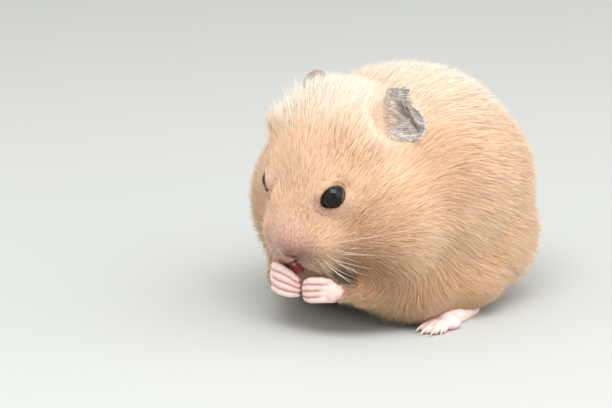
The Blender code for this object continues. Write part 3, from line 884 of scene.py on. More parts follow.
def tuft_tree():
    """Tufts scattered over the skin, laid along it, lifted a little and drawn together in locks."""
    group = new_group("coat_tufts", "GeometryNodeTree", [
        ("INPUT", "Geometry", "Geometry", None),
        ("INPUT", "Tuft", "Object", None),
        ("INPUT", "Region", "Int", 0),
        ("INPUT", "Cover", "Float", 1.0),
        ("INPUT", "Unruliness", "Float", 0.3),
        ("INPUT", "Droop", "Float", 0.15),
        ("INPUT", "Lock pull", "Float", 0.4),
        ("INPUT", "Lock size", "Float", 0.002),
        ("INPUT", "Patch", "Float", 0.003),
        ("INPUT", "Seed", "Int", 1),
        ("INPUT", "Finish", "Material", None),
        ("OUTPUT", "Geometry", "Geometry", None),
    ])
    given = group.nodes.new("NodeGroupInput").outputs
    up = named(group, "up", "FLOAT_VECTOR")
    place = wire(group, "GeometryNodeInputPosition")
    here = wire(group, "FunctionNodeCompare", [named(group, "region", "INT"), given["Region"]],
                data_type="INT", operation="EQUAL")
    crowd = sums(group, "MULTIPLY", named(group, "tufts"), given["Cover"])
    points = wire(group, "GeometryNodeDistributePointsOnFaces",
                  [given["Geometry"], here, crowd, given["Seed"]], distribute_method="RANDOM")

    drift = wire(group, "ShaderNodeTexNoise", {"Vector": place, "Scale": 240.0, "Detail": 1.0}, "Color")
    drift = vectors(group, "SUBTRACT", drift, (0.5, 0.5, 0.5))
    drift = vectors(group, "SCALE", drift, sums(group, "MULTIPLY", given["Unruliness"], 2.4))
    jitter = between(group, (-1, -1, -1), (1, 1, 1), 11, "FLOAT_VECTOR")
    jitter = vectors(group, "SCALE", jitter, sums(group, "MULTIPLY", given["Unruliness"], 0.45))
    lie = vectors(group, "ADD", named(group, "lie", "FLOAT_VECTOR"), vectors(group, "ADD", drift, jitter))
    lie = vectors(group, "NORMALIZE", along_skin(group, lie, up))

    stray = sums(group, "POWER", between(group, 0.0, 1.0, 12), 6.0)
    lift = sums(group, "MULTIPLY", named(group, "lift"), between(group, 0.6, 1.4, 13))
    lift = sums(group, "MULTIPLY_ADD", stray, 0.35, lift)
    way = vectors(group, "ADD",
                  vectors(group, "SCALE", lie, sums(group, "COSINE", lift)),
                  vectors(group, "SCALE", up, sums(group, "SINE", lift)))
    span = sums(group, "MULTIPLY", named(group, "hair"), between(group, 0.7, 1.2, 14))
    broad = sums(group, "MULTIPLY", named(group, "breadth"), between(group, 0.75, 1.25, 15))

    lock = wire(group, "ShaderNodeTexVoronoi",
                {"Vector": place, "Scale": sums(group, "DIVIDE", 1.0, given["Lock size"])}, "Position")
    lock_tone = wire(group, "ShaderNodeSeparateXYZ", [lock.node.outputs["Color"]])
    pull = along_skin(group, vectors(group, "SUBTRACT", lock, place), up)
    pull = vectors(group, "SCALE", pull, given["Lock pull"])

    root = vectors(group, "SCALE", up, sums(group, "MULTIPLY", broad, -0.6))
    sunk = vectors(group, "SCALE", way, sums(group, "MULTIPLY", span, -0.06))
    kept = stored(group, points, "span", span)
    kept = stored(group, kept, "pull", pull, "FLOAT_VECTOR")
    kept = stored(group, kept, "tone", between(group, 0.0, 1.0, 16))
    kept = stored(group, kept, "lock", lock_tone)
    turned = wire(group, "FunctionNodeAxesToRotation", [way, up], primary_axis="X", secondary_axis="Z")
    size = wire(group, "ShaderNodeCombineXYZ", [span, broad, broad])
    kept = wire(group, "GeometryNodeSetPosition",
                {"Geometry": kept, "Offset": vectors(group, "ADD", root, sunk)})
    tuft = wire(group, "GeometryNodeObjectInfo", [given["Tuft"]], "Geometry")
    stood = wire(group, "GeometryNodeInstanceOnPoints",
                 {"Points": kept, "Instance": tuft, "Rotation": turned, "Scale": size})
    solid = wire(group, "GeometryNodeRealizeInstances", [stood])

    along = sums(group, "POWER", named(group, "along"), 2.0)
    bend = sums(group, "MULTIPLY", sums(group, "MULTIPLY", named(group, "span"), given["Droop"]), -1.0)
    shift = vectors(group, "ADD", named(group, "pull", "FLOAT_VECTOR"), vectors(group, "SCALE", up, bend))
    solid = wire(group, "GeometryNodeSetPosition",
                 {"Geometry": solid, "Offset": vectors(group, "SCALE", shift, along)})
    patch = vectors(group, "SUBTRACT", named(group, "tuft_uv", "FLOAT_VECTOR"), (0.5, 0.5, 0.0))
    patch = vectors(group, "SCALE", patch, given["Patch"])
    patch = vectors(group, "ADD", named(group, "hide", "FLOAT_VECTOR"), patch)
    solid = stored(group, solid, "OFBake", patch, "FLOAT2", "CORNER")
    solid = wire(group, "GeometryNodeSetMaterial", {"Geometry": solid, "Material": given["Finish"]})
    ending = group.nodes.new("NodeGroupOutput")
    group.links.new(solid, ending.inputs["Geometry"])
    return group


def along_skin(group, vector, up):
    """The part of a vector that runs along the skin."""
    rise = vectors(group, "DOT_PRODUCT", vector, up)
    return vectors(group, "SUBTRACT", vector, vectors(group, "SCALE", up, rise.node.outputs["Value"]))


# Each piece of the coat, and the point in the skull's frame or the model's that it lies nearest to.
COAT_ON_SKULL = {
    "coat_muzzle_left": (4.5, -9.0, -6.0),
    "coat_muzzle_right": (-4.5, -9.0, -6.0),
    "coat_brow_left": (5.5, 4.0, 4.0),
    "coat_brow_right": (-5.5, 4.0, 4.0),
    "coat_crown": (0.0, 18.0, 8.0),
    "coat_cheek_left": (13.0, 5.0, -11.0),
    "coat_cheek_right": (-13.0, 5.0, -11.0),
}
COAT_ON_BODY = {
    "coat_shoulder_left": (24.0, -12.0, 28.0),
    "coat_shoulder_right": (-24.0, -12.0, 28.0),
    "coat_back": (0.0, 10.0, 54.0),
    "coat_flank_left": (28.0, 12.0, 22.0),
    "coat_flank_right": (-28.0, 12.0, 22.0),
    "coat_rump": (0.0, 34.0, 28.0),
    "coat_chest": (0.0, -20.0, 6.0),
}
SPARE_LAYERS = ("up", "lie", "hair", "breadth", "lift", "tufts", "region", "span", "pull", "tuft_uv",
                "hide", "bare", "lid", "red", "rim", "id")
COMBED = SPARE_LAYERS[:7]
PATCH = 0.003        # breadth of a tuft's patch on the OFBake map
SKIN_NORMAL = 0.46   # how far a tuft is shaded like the skin under it
COVER = 8.6          # layers of hair over the skin of the body
COVER_ON_HEAD = 8.4
FLOOR_SPARE = 1.0    # no tufts root lower than this over the floor


def coat_anchors():
    """Anchor points of the coat's pieces, in the order of their names."""
    return np.array([from_skull(spot) for spot in COAT_ON_SKULL.values()] + list(COAT_ON_BODY.values()))


def comb(skin, whole):
    """Write onto the skin how its hair lies, how long and broad it is and how closely it grows."""
    verts = whole.verts
    up = whole.normals()
    ear, bare, lid = whole.marks["ear"], whole.marks["bare"], whole.marks["lid"]
    on_ear = ear > 0.2
    length = coat_length(verts)
    lie = coat_lie(verts)
    for side in (1, -1):
        mine = on_ear & (verts[:, 0] * side > 0)
        out, rise, _ = ear_axes(side)
        high = (verts[mine] - EAR_MIDDLE[side]) @ rise
        lie[mine] = out - np.outer(0.38 * np.exp(-((high - 0.5) / 2.6) ** 2), rise)
        length[mine] = 3.2 - 2.4 * ease(whole.marks["rim"][mine], 0.50, 0.95)
    lie = lie - up * np.einsum("ij,ij->i", lie, up)[:, None]
    breadth = np.minimum(0.095 + 0.023 * length, 0.23)
    breadth[on_ear] = 0.085
    share = head_share(verts)
    crest = crest_share(verts)
    lift = np.radians(13.0 + 7.0 * share + 12.0 * crest + 34.0 * crest_share(verts, -1))
    lift += np.radians(8.0) * np.exp(-(apart(to_skull(verts), NOSE_TIP) / 9.0) ** 2)
    lift += np.radians(14.0) * lip_share(verts)
    lift[on_ear] = math.radians(7.0)
    tufts = (COVER + (COVER_ON_HEAD - COVER) * share) / (0.5 * length * breadth)
    tufts[on_ear] *= 0.42
    tufts *= 1 - 0.45 * crest_share(verts, -1)
    tufts *= (1 - bare) * (1 - ease(lid, 0.10, 0.40)) * ease(verts[:, 2], FLOOR_SPARE, FLOOR_SPARE + 1)
    floats = {"hair": length * MM, "breadth": breadth * MM, "lift": lift, "tufts": tufts / MM ** 2}
    for name, values in floats.items():
        keep(skin.data, name, values)
    keep(skin.data, "up", up, "FLOAT_VECTOR")
    keep(skin.data, "lie", unit(lie), "FLOAT_VECTOR")
    starts = np.cumsum(whole.sizes) - whole.sizes
    centres = np.add.reduceat(verts[whole.corners], starts) / whole.sizes[:, None]
    region = np.argmin([apart(centres, spot) for spot in coat_anchors()], axis=0)
    keep(skin.data, "region", region, "INT", "FACE")


def dress(data):
    """Shade tufts softly, like the skin that they cover, and keep them above the floor."""
    count = len(data.vertices)
    own, up, place = (np.zeros(count * 3, np.float32) for _ in range(3))
    data.vertex_normals.foreach_get("vector", own)
    data.attributes["up"].data.foreach_get("vector", up)
    data.vertices.foreach_get("co", place)
    place = place.reshape(-1, 3)
    place[:, 2] = np.maximum(place[:, 2], FLOOR_GAP * MM)
    data.vertices.foreach_set("co", place.ravel())
    soft = unit(SKIN_NORMAL * up.reshape(-1, 3) + (1 - SKIN_NORMAL) * own.reshape(-1, 3))
    data.normals_split_custom_set_from_vertices(soft.tolist())


def grow_coat(skin, finish):
    """One piece of solid tufts for each region of the combed skin."""
    tree = tuft_tree()
    tuft = make_tuft()
    for index, name in enumerate([*COAT_ON_SKULL, *COAT_ON_BODY]):
        holder = add_object("holder", skin.data)
        on_head = name in COAT_ON_SKULL
        set_tree(holder, tree, {
            "Tuft": tuft, "Region": index, "Cover": 1.0, "Unruliness": 0.16 if on_head else 0.18,
            "Droop": 0.10, "Lock pull": 0.28 if on_head else 0.18,
            "Lock size": (1.0 if on_head else 1.6) * MM,
            "Patch": PATCH, "Seed": 20 + index, "Finish": finish,
        })
        data = settled(holder)
        bpy.data.objects.remove(holder)
        data.name = name
        dress(data)
        for spare in [each.name for each in data.attributes if each.name in SPARE_LAYERS]:
            data.attributes.remove(data.attributes[spare])
        piece = add_object(name, data)
        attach(piece, "root")
    remove_with_mesh(tuft)
    for name in COMBED:
        skin.data.attributes.remove(skin.data.attributes[name])


# ---------------------------------------------------------------- eyes, claws and whiskers

def make_eye(side, finish):
    """A round eye with a slightly fuller cornea."""
    out = unit(eye_frame(side)[2])
    mesh = bmesh.new()
    turn = Vector(out).to_track_quat("Z", "Y").to_matrix().to_4x4()
    bmesh.ops.create_uvsphere(mesh, u_segments=48, v_segments=32, radius=EYE_RADIUS, matrix=turn)
    for vert in mesh.verts:
        facing = max(vert.co.normalized().dot(Vector(out)), 0.0)
        vert.co *= 1.0 + 0.035 * facing ** 6
    bmesh.ops.translate(mesh, vec=Vector(EYE_MIDDLE[side]), verts=mesh.verts)
    bmesh.ops.scale(mesh, vec=(MM, MM, MM), verts=mesh.verts)
    data = bpy.data.meshes.new("eyeball")
    mesh.to_mesh(data)
    mesh.free()
    data.shade_smooth()
    name = "eye_left" if side > 0 else "eye_right"
    eye = put("eyeball_" + name[4:], data, finish)
    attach(eye, "root")
    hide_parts(name)


def claw_shell(base, way, length, radius, curl):
    """One claw: a curved cone, closed at its tip and its root."""
    rows = []
    way = unit(way)
    side_way = unit(np.cross(way, (0.0, 0.0, 1.0)))
    over = np.cross(side_way, way)
    around = np.linspace(0, 2 * math.pi, 8, endpoint=False)
    ring = np.outer(np.cos(around), side_way) + 1.2 * np.outer(np.sin(around), over)
    for share in (0.0, 0.3, 0.6, 0.85, 0.97, 1.0):
        thick = radius * (1 - share) ** 0.7 + 0.02
        centre = base + way * length * share - over * curl * share ** 2
        rows.append(centre + ring * thick)
    return grid_shell(rows, flip=True)


def make_claws(name, shells, finish):
    """The claws of one paw or foot, as one piece."""
    piece = put(name, joined(shells).mesh(name), finish)
    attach(piece, "root")


def make_all_claws(finish):
    """Claws of every hind toe and every finger."""
    for side, word in ((1, "left"), (-1, "right")):
        shells = []
        for index in range(TOES):
            root, tip = toe(side, index)
            way = unit(tip - root)
            shells.append(claw_shell(tip + way * 0.35 + (0, 0, 0.35), way, 2.1, 0.40, 0.75))
        make_claws("claws_hindfoot_" + word, shells, finish)
        shells = []
        for index in range(FINGER_COUNT):
            tip = finger_route(side, index)[-1]
            way = unit(SWING @ mirrored((-0.15, 0.95, -0.20), side))
            shells.append(claw_shell(tip + way * 0.35, way, 0.8, 0.20, 0.2))
        make_claws("claws_forepaw_" + word, shells, finish)


def whisker_tree():
    """Fine hairs from bare lines: each line becomes a round, tapering tube."""
    group = new_group("whiskers", "GeometryNodeTree", [
        ("INPUT", "Geometry", "Geometry", None),
        ("INPUT", "Thickness", "Float", 0.0001),
        ("INPUT", "Sides", "Int", 5),
        ("INPUT", "Finish", "Material", None),
        ("OUTPUT", "Geometry", "Geometry", None),
    ])
    given = group.nodes.new("NodeGroupInput").outputs
    line = wire(group, "GeometryNodeMeshToCurve", [given["Geometry"]])
    ring = wire(group, "GeometryNodeCurvePrimitiveCircle",
                {"Resolution": given["Sides"], "Radius": given["Thickness"]}, "Curve")
    tube = wire(group, "GeometryNodeCurveToMesh",
                {"Curve": line, "Profile Curve": ring, "Scale": named(group, "taper"), "Fill Caps": True})
    tube = wire(group, "GeometryNodeSetShadeSmooth", [tube])
    tube = wire(group, "GeometryNodeRealizeInstances", [tube])
    tube = wire(group, "GeometryNodeSetMaterial", {"Geometry": tube, "Material": given["Finish"]})
    ending = group.nodes.new("NodeGroupOutput")
    group.links.new(tube, ending.inputs["Geometry"])
    return group


WHISKER_STEPS = 12
WHISKER_RADIUS = 0.048
WHISKER_ROWS = 5
WHISKER_COLUMNS = 6
FRINGE_HAIRS = 26
BROW_HAIRS = 3


def whisker_line(root, way, bend, length):
    """Points of one whisker, bending evenly from its root to its tip."""
    share = np.linspace(0.0, 1.0, WHISKER_STEPS)[:, None]
    return root + length * (share * unit(way) + share ** 2 * np.asarray(bend))


def whisker_from(ground, spot, way, bend, length):
    """A whisker rooted on the head where a ray towards a place in the skull meets it."""
    root, aim, curve = from_skull(spot), SKULL @ way, SKULL @ bend
    start = root + unit(root - from_skull((0.0, spot[1] + 5.0, spot[2] + 3.0))) * 8.0
    hit = ground.ray_cast(Vector(start), Vector(root - start))[0]
    if not hit:
        return None
    return whisker_line(np.array(hit) - unit(aim) * 0.4, aim, curve, length)


def pad_whiskers(ground, side):
    """Whiskers in rows on one pad, longer towards the back; those on the right are the longest."""
    for row in range(WHISKER_ROWS):
        for column in range(WHISKER_COLUMNS):
            spot = mirrored((4.6 + 0.75 * column, -11.6 + 1.25 * column, -6.6 - 1.35 * row), side)
            spot = spot + RNG.normal(0, 0.2, 3)
            way = mirrored((0.68, -0.50 + 0.17 * column, -0.12 - 0.26 * row), side)
            bend = mirrored((-0.10, 0.26, -0.26), side)
            length = (4.0 + 3.4 * column) * (1.0 - 0.08 * row) * RNG.uniform(0.6, 1.15)
            if side < 0:
                length = 1.5 * length + 3.0
            yield whisker_from(ground, spot, way + RNG.normal(0, 0.08, 3), bend, length)


def fringe(ground, side):
    """Short bristles that hang from the lower edge of one pad."""
    for _ in range(FRINGE_HAIRS):
        share = RNG.uniform(0, 1)
        spot = mirrored((2.6 + 6.4 * share, -11.5 + 6.0 * share, -13.5), side) + RNG.normal(0, 0.4, 3)
        way = mirrored((0.25 + 0.35 * share, -0.35 + 0.2 * share, -0.95), side) + RNG.normal(0, 0.1, 3)
        yield whisker_from(ground, spot, way, mirrored((0.1, 0.1, 0.1), side), RNG.uniform(2.2, 5.0))


def brow_whiskers(ground, side):
    """A few whiskers over one eye."""
    for _ in range(BROW_HAIRS):
        spot = mirrored((8.6 + RNG.uniform(-0.6, 0.6), 3.6, 6.0), side)
        way = mirrored((0.6, -0.1 + RNG.uniform(-0.3, 0.3), 0.8), side)
        yield whisker_from(ground, spot, way, (0.0, 0.25, -0.1), 8.0)


def make_whiskers(ground, finish):
    """The whiskers, fringe and brow hairs of each side, as one piece."""
    tree = whisker_tree()
    for side, word in ((1, "left"), (-1, "right")):
        lines = [*pad_whiskers(ground, side), *fringe(ground, side), *brow_whiskers(ground, side)]
        lines = [line for line in lines if line is not None]
        data = bpy.data.meshes.new("lines")
        verts = np.concatenate(lines)
        edges = [(start + step, start + step + 1)
                 for start in range(0, len(verts), WHISKER_STEPS) for step in range(WHISKER_STEPS - 1)]
        data.from_pydata((verts * MM).tolist(), edges, [])
        keep(data, "taper", np.tile(1.0 - 0.85 * np.linspace(0, 1, WHISKER_STEPS) ** 1.2, len(lines)))
        thing = put("whiskers", data, finish)
        set_tree(thing, tree, {"Thickness": WHISKER_RADIUS * MM, "Sides": 5, "Finish": finish})
        piece = add_object("whiskers_" + word, settled(thing))
        remove_with_mesh(thing)
        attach(piece, "root")


# ---------------------------------------------------------------- finishes

def srgb(red, green, blue):
    """A colour from its screen values, 0 to 255, as the linear values that a shader takes."""
    shares = np.array((red, green, blue)) / 255
    linear = np.where(shares <= 0.04045, shares / 12.92, ((shares + 0.055) / 1.055) ** 2.4)
    return (*linear.tolist(), 1.0)


def patch_group():
    """A soft egg-shaped mask round a centre."""
    group = new_group("soft_patch", "ShaderNodeTree", [
        ("INPUT", "Vector", "Vector", None),
        ("INPUT", "Centre", "Vector", None),
        ("INPUT", "Size", "Vector", (1.0, 1.0, 1.0)),
        ("INPUT", "Softness", "Float", 0.5),
        ("OUTPUT", "Mask", "Float", None),
    ])
    given = group.nodes.new("NodeGroupInput").outputs
    offset = vectors(group, "SUBTRACT", given["Vector"], given["Centre"])
    offset = vectors(group, "DIVIDE", offset, given["Size"])
    far = vectors(group, "LENGTH", offset).node.outputs["Value"]
    mask = wire(group, "ShaderNodeMapRange", {
        "Value": far, "From Min": sums(group, "SUBTRACT", 1.0, given["Softness"]),
        "From Max": sums(group, "ADD", 1.0, given["Softness"]), "To Min": 1.0, "To Max": 0.0,
    }, interpolation_type="SMOOTHSTEP")
    ending = group.nodes.new("NodeGroupOutput")
    group.links.new(mask, ending.inputs["Mask"])
    return group


def blend(group, share, first, second, kind="MIX"):
    """A mix of two colours."""
    return wire(group, "ShaderNodeMix", {"Factor": share, "A": first, "B": second}, "Result",
                data_type="RGBA", blend_type=kind)


APRICOT = srgb(249, 210, 172)
DEEP_APRICOT = srgb(244, 197, 154)
PALE = srgb(247, 235, 219)
# Painted shade: the coat darkened on the chest and belly.
UNDERSIDE_SHADE = srgb(227, 174, 112)
# Painted shade: the coat darkened under the jaw, in the fold under the left cheek and under the belly.
DEEP_SHADE = srgb(188, 133, 76)
PINKISH = srgb(228, 176, 166)
GREYISH = srgb(224, 196, 168)
SILVER = srgb(236, 228, 218)
MAUVE = srgb(214, 166, 150)
REDDISH = srgb(190, 98, 82)
# Painted shade: near brown-black coat behind the hands and under the left whisker pad.
DARK_SHADE = srgb(122, 78, 42)
# Painted shade: the coat darkened on the cheeks and the left of the neck.
CHEEK_SHADE = srgb(212, 160, 108)
BLUSH = srgb(238, 206, 198)

# Where the coat changes colour, or has shade and light painted in: frame, centre and size in millimetres,
# softness, colour and strength.
MARKINGS_AND_PAINTED_LIGHT = (
    ("model", (0.0, 14.0, 56.0), (22.0, 32.0, 14.0), 0.55, PALE, 0.8),        # back, paler on top: partly the coat's own pale tone, partly painted light from above
    ("skull", (0.0, 23.0, 9.0), (14.0, 9.0, 8.0), 0.6, PALE, 0.85),           # between the ears
    ("skull", (14.0, 16.5, 3.0), (3.5, 4.5, 5.0), 0.6, SILVER, 0.35),         # before the left ear
    ("model", (0.0, -10.0, 0.0), (36.0, 28.0, 19.0), 0.5, UNDERSIDE_SHADE, 0.65),         # chest and belly, darker: painted shade
    ("skull", (0.0, 3.0, -18.5), (14.0, 11.0, 6.0), 0.5, DEEP_SHADE, 0.8),         # throat: painted shade under the jaw
    ("skull", (0.0, -11.5, -7.5), (8.0, 8.0, 7.5), 0.55, PINKISH, 0.85),      # muzzle
    ("skull", (7.0, -8.6, -11.6), (5.6, 6.0, 4.4), 0.6, GREYISH, 0.75),       # left whisker pad
    ("skull", (-7.0, -8.6, -11.6), (5.6, 6.0, 4.4), 0.6, GREYISH, 0.75),      # right whisker pad
    ("skull", (-2.6, -13.2, -8.8), (2.6, 3.0, 2.6), 0.6, BLUSH, 0.6),         # beside the nose
    ("skull", (8.8, -2.8, 0.2), (3.0, 3.4, 3.0), 0.6, MAUVE, 0.40),           # before the left eye
    ("skull", (-8.8, -2.8, 0.2), (3.0, 3.4, 3.0), 0.6, MAUVE, 0.40),          # before the right eye
    ("skull", (17.0, 0.0, -10.5), (9.0, 9.0, 8.0), 0.6, CHEEK_SHADE, 0.8),          # left cheek, darker: painted shade
    ("skull", (-17.0, 0.0, -10.5), (9.0, 9.0, 8.0), 0.6, CHEEK_SHADE, 0.8),         # right cheek, darker: painted shade
    ("skull", (2.5, -9.0, -14.8), (9.5, 5.5, 3.6), 0.5, DARK_SHADE, 0.9),           # painted shade behind the hands
    ("skull", (7.5, -8.8, -17.5), (5.5, 4.5, 4.0), 0.6, DARK_SHADE, 0.8),           # painted shade under the left whisker pad
    ("skull", (0.3, -13.6, -10.6), (2.4, 3.0, 4.0), 0.6, REDDISH, 0.8),       # nostrils and mouth
    ("skull", (-10.0, 17.0, 10.0), (6.5, 8.0, 6.0), 0.6, PALE, 0.95),         # wisps by the right ear
    ("skull", (-14.5, 25.5, 1.0), (5.0, 4.5, 5.0), 0.4, SILVER, 0.9),         # right ear, paler than the left: painted light
    ("model", (25.0, -11.0, 38.0), (9.0, 9.0, 10.0), 0.6, CHEEK_SHADE, 0.65),       # left of the neck, darker: painted shade
    ("model", (14.0, -28.0, 15.0), (10.0, 8.0, 6.0), 0.55, DEEP_SHADE, 0.9),       # painted shade in the fold under the left cheek
    ("model", (0.0, -10.0, 0.0), (36.0, 28.0, 11.0), 0.5, DEEP_SHADE, 0.5),        # belly, darker: painted shade
)


def markings_and_light_group():
    """The coat's colour at a place on the animal, shared by skin and hair, with shade and light painted in at
    some places.
    """
    patch = patch_group()
    group = new_group("coat_markings_and_painted_light", "ShaderNodeTree", [
        ("INPUT", "Vector", "Vector", None),
        ("OUTPUT", "Color", "Color", None),
    ])
    given = group.nodes.new("NodeGroupInput").outputs
    wave = wire(group, "ShaderNodeTexNoise", {"Vector": given["Vector"], "Scale": 90.0, "Detail": 2.0}, "Fac")
    colour = blend(group, wave, APRICOT, DEEP_APRICOT)
    turn = Matrix(SKULL.tolist()).to_euler()
    origin = SKULL_ORIGIN * MM
    skull = wire(group, "ShaderNodeVectorMath", [given["Vector"], tuple(origin)], operation="SUBTRACT")
    skull = wire(group, "ShaderNodeVectorRotate", {"Vector": skull, "Rotation": tuple(turn)},
                 rotation_type="EULER_XYZ", invert=True)
    for home, centre, size, softness, tint, strength in MARKINGS_AND_PAINTED_LIGHT:
        mask = group.nodes.new("ShaderNodeGroup")
        mask.node_tree = patch
        group.links.new(skull if home == "skull" else given["Vector"], mask.inputs["Vector"])
        mask.inputs["Centre"].default_value = np.array(centre) * MM
        mask.inputs["Size"].default_value = np.array(size) * MM
        mask.inputs["Softness"].default_value = softness
        colour = blend(group, sums(group, "MULTIPLY", mask.outputs["Mask"], strength), colour, tint)
    ending = group.nodes.new("NodeGroupOutput")
    group.links.new(colour, ending.inputs["Color"])
    return group


def finish_of(name, **values):
    """A material with a Principled shader and its plain values."""
    made = bpy.data.materials.new(name)
    made.use_nodes = True
    shader = made.node_tree.nodes["Principled BSDF"]
    for label, value in values.items():
        shader.inputs[label.replace("_", " ")].default_value = value
    return made, made.node_tree, shader


def colour_here(tree, markings_and_light):
    """The coat's colours, with their painted shade and light, at the point being drawn."""
    spot = wire(tree, "ShaderNodeTexCoord", result="Object")
    made = tree.nodes.new("ShaderNodeGroup")
    made.node_tree = markings_and_light
    tree.links.new(spot, made.inputs["Vector"])
    return made.outputs["Color"], spot


def layer(tree, name):
    """A value kept on the mesh, for a shader."""
    return wire(tree, "ShaderNodeAttribute", result="Fac", attribute_name=name)


def coat_finish(markings_and_light):
    """Hair: paler to the tip, with each tuft and each lock a little lighter or darker."""
    made, tree, shader = finish_of("coat_hair", Roughness=0.62, Specular_IOR_Level=0.3, Sheen_Weight=0.16,
                                   Sheen_Roughness=0.5, Sheen_Tint=(1.0, 0.93, 0.84, 1.0))
    colour, _ = colour_here(tree, markings_and_light)
    mottle = wire(tree, "ShaderNodeMapRange",
                  {"Value": layer(tree, "tone"), "From Min": 0.24, "From Max": 0.52})
    grey = blend(tree, mottle, srgb(74, 67, 70), srgb(255, 254, 252))
    colour = blend(tree, sums(tree, "MULTIPLY", layer(tree, "ear"), 0.90), colour, grey)
    deep = blend(tree, 1.0, colour, (0.92, 0.76, 0.58, 1.0), "MULTIPLY")
    pale = blend(tree, 0.22, colour, (1.0, 0.97, 0.92, 1.0))
    colour = blend(tree, layer(tree, "along"), deep, pale)
    shade = wire(tree, "ShaderNodeMapRange", {"Value": layer(tree, "tone"), "To Min": 0.72, "To Max": 1.15})
    lock = wire(tree, "ShaderNodeMapRange", {"Value": layer(tree, "lock"), "To Min": 0.95, "To Max": 1.03})
    grey = wire(tree, "ShaderNodeCombineXYZ", [sums(tree, "MULTIPLY", shade, lock)] * 3)
    colour = blend(tree, 1.0, colour, grey, "MULTIPLY")
    tree.links.new(colour, shader.inputs["Base Color"])
    return made


def skin_finish(markings_and_light):
    """Skin: coat colour under the hair, pink where bare, grey on the ears, near black on the lids; painted
    shade in the ear's slit, nostrils and lips.
    """
    made, tree, shader = finish_of("skin", Roughness=0.55, Subsurface_Weight=0.15, Subsurface_Scale=0.001)
    colour, spot = colour_here(tree, markings_and_light)
    colour = blend(tree, 1.0, colour, (0.92, 0.80, 0.72, 1.0), "MULTIPLY")
    grain = wire(tree, "ShaderNodeTexNoise", {"Vector": spot, "Scale": 900.0, "Detail": 3.0}, "Fac")
    pink = blend(tree, grain, srgb(240, 214, 208), srgb(229, 192, 184))
    pink = blend(tree, layer(tree, "red"), pink, srgb(150, 48, 44))
    colour = blend(tree, layer(tree, "bare"), colour, pink)
    grey = blend(tree, grain, srgb(164, 154, 153), srgb(118, 109, 110))
    colour = blend(tree, layer(tree, "ear"), colour, grey)
    # Near black on the lids' rims; the same mark is painted shade in the left ear's slit, the nostrils and
    # over the lips.
    colour = blend(tree, layer(tree, "lid"), colour, srgb(32, 16, 14))
    tree.links.new(colour, shader.inputs["Base Color"])
    relief = wire(tree, "ShaderNodeBump", {"Strength": 0.35, "Distance": 0.0002, "Height": grain})
    tree.links.new(relief, shader.inputs["Normal"])
    return made


def eye_finish():
    """Near black, wet eye."""
    made, tree, shader = finish_of("eye", Roughness=0.10, Specular_IOR_Level=0.28)
    spot = wire(tree, "ShaderNodeTexCoord", result="Object")
    grain = wire(tree, "ShaderNodeTexNoise", {"Vector": spot, "Scale": 400.0, "Detail": 2.0}, "Fac")
    tree.links.new(blend(tree, grain, srgb(6, 4, 4), srgb(18, 11, 9)), shader.inputs["Base Color"])
    return made


def horn_finish(name, pale, dark, roughness):
    """Claws and whiskers: one tint fading into another."""
    made, tree, shader = finish_of(name, Roughness=roughness)
    spot = wire(tree, "ShaderNodeTexCoord", result="Object")
    grain = wire(tree, "ShaderNodeTexNoise", {"Vector": spot, "Scale": 300.0, "Detail": 1.0}, "Fac")
    tree.links.new(blend(tree, grain, pale, dark), shader.inputs["Base Color"])
    return made


# ---------------------------------------------------------------- studio

CAMERA_TARGET = (0.0013, -0.0331, 0.0298)
CAMERA_AZIMUTH = math.radians(42)
CAMERA_ELEVATION = math.radians(15)
CAMERA_DISTANCE = 0.44
CAMERA_LENS = 117.65
LAMP_TARGET = (0.0, 0.0, 0.03)
# Each lamp's place and size in metres, power in watts, and colour.
LAMPS = (
    ("sky", (0.195, -0.25, 0.58), (0.50, 0.34), 3.4, (0.90, 0.95, 1.0)),
    ("side", (0.95, 0.40, 0.50), (2.0, 2.0), 18.6, (1.0, 0.98, 0.95)),
    ("front", (-0.30, -1.05, 0.70), (2.0, 2.0), 5.6, (1.0, 0.98, 0.96)),
)


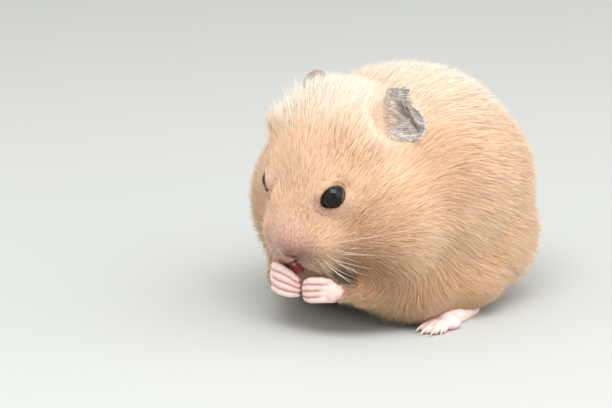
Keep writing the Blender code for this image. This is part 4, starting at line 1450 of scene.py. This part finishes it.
def add_camera():
    """The camera, low on the animal's left and in front of it."""
    data = bpy.data.cameras.new("camera")
    data.lens = CAMERA_LENS
    data.sensor_width = 36.0
    data.clip_start = 0.01
    camera = add_object("camera", data)
    level = math.cos(CAMERA_ELEVATION)
    way = Vector((math.sin(CAMERA_AZIMUTH) * level, -math.cos(CAMERA_AZIMUTH) * level,
                  math.sin(CAMERA_ELEVATION)))
    camera.location = Vector(CAMERA_TARGET) + way * CAMERA_DISTANCE
    camera.rotation_euler = way.to_track_quat("Z", "Y").to_euler()
    bpy.context.scene.camera = camera


def add_lamp(name, place, size, power, colour):
    """A soft oblong lamp that faces the animal."""
    data = bpy.data.lights.new(name, "AREA")
    data.shape = "RECTANGLE"
    data.size, data.size_y = size
    data.energy = power
    data.color = colour
    lamp = add_object(name, data)
    lamp.location = place
    lamp.rotation_euler = (Vector(place) - Vector(LAMP_TARGET)).to_track_quat("Z", "Y").to_euler()


def add_studio():
    """Plain pale floor, soft lamps and an even pale surround."""
    floor_mesh = bmesh.new()
    bmesh.ops.create_grid(floor_mesh, x_segments=1, y_segments=1, size=3.0)
    data = bpy.data.meshes.new("floor")
    floor_mesh.to_mesh(data)
    floor_mesh.free()
    finish, _, shader = finish_of("floor", Roughness=0.9)
    shader.inputs["Base Color"].default_value = srgb(186, 188, 184)
    put("floor", data, finish)
    for lamp in LAMPS:
        add_lamp(*lamp)
    world = bpy.data.worlds.new("surround")
    world.use_nodes = True
    sky = world.node_tree.nodes["Background"]
    sky.inputs["Color"].default_value = (0.90, 0.895, 0.885, 1.0)
    sky.inputs["Strength"].default_value = 0.84
    bpy.context.scene.world = world
    bpy.context.scene.view_settings.view_transform = "Standard"


def build():
    """Everything, in the order that the pieces rest on each other."""
    markings_and_light = markings_and_light_group()
    skin, whole, ground = make_skin(skin_finish(markings_and_light))
    comb(skin, whole)
    grow_coat(skin, coat_finish(markings_and_light))
    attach(skin, "root")
    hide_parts(*FUSED, *REMADE)
    wet = eye_finish()
    for side in (1, -1):
        make_eye(side, wet)
    make_all_claws(horn_finish("claw", srgb(232, 214, 196), srgb(206, 178, 158), 0.35))
    make_whiskers(ground, horn_finish("whisker", srgb(252, 248, 240), srgb(236, 224, 206), 0.4))
    add_camera()
    add_studio()


build()
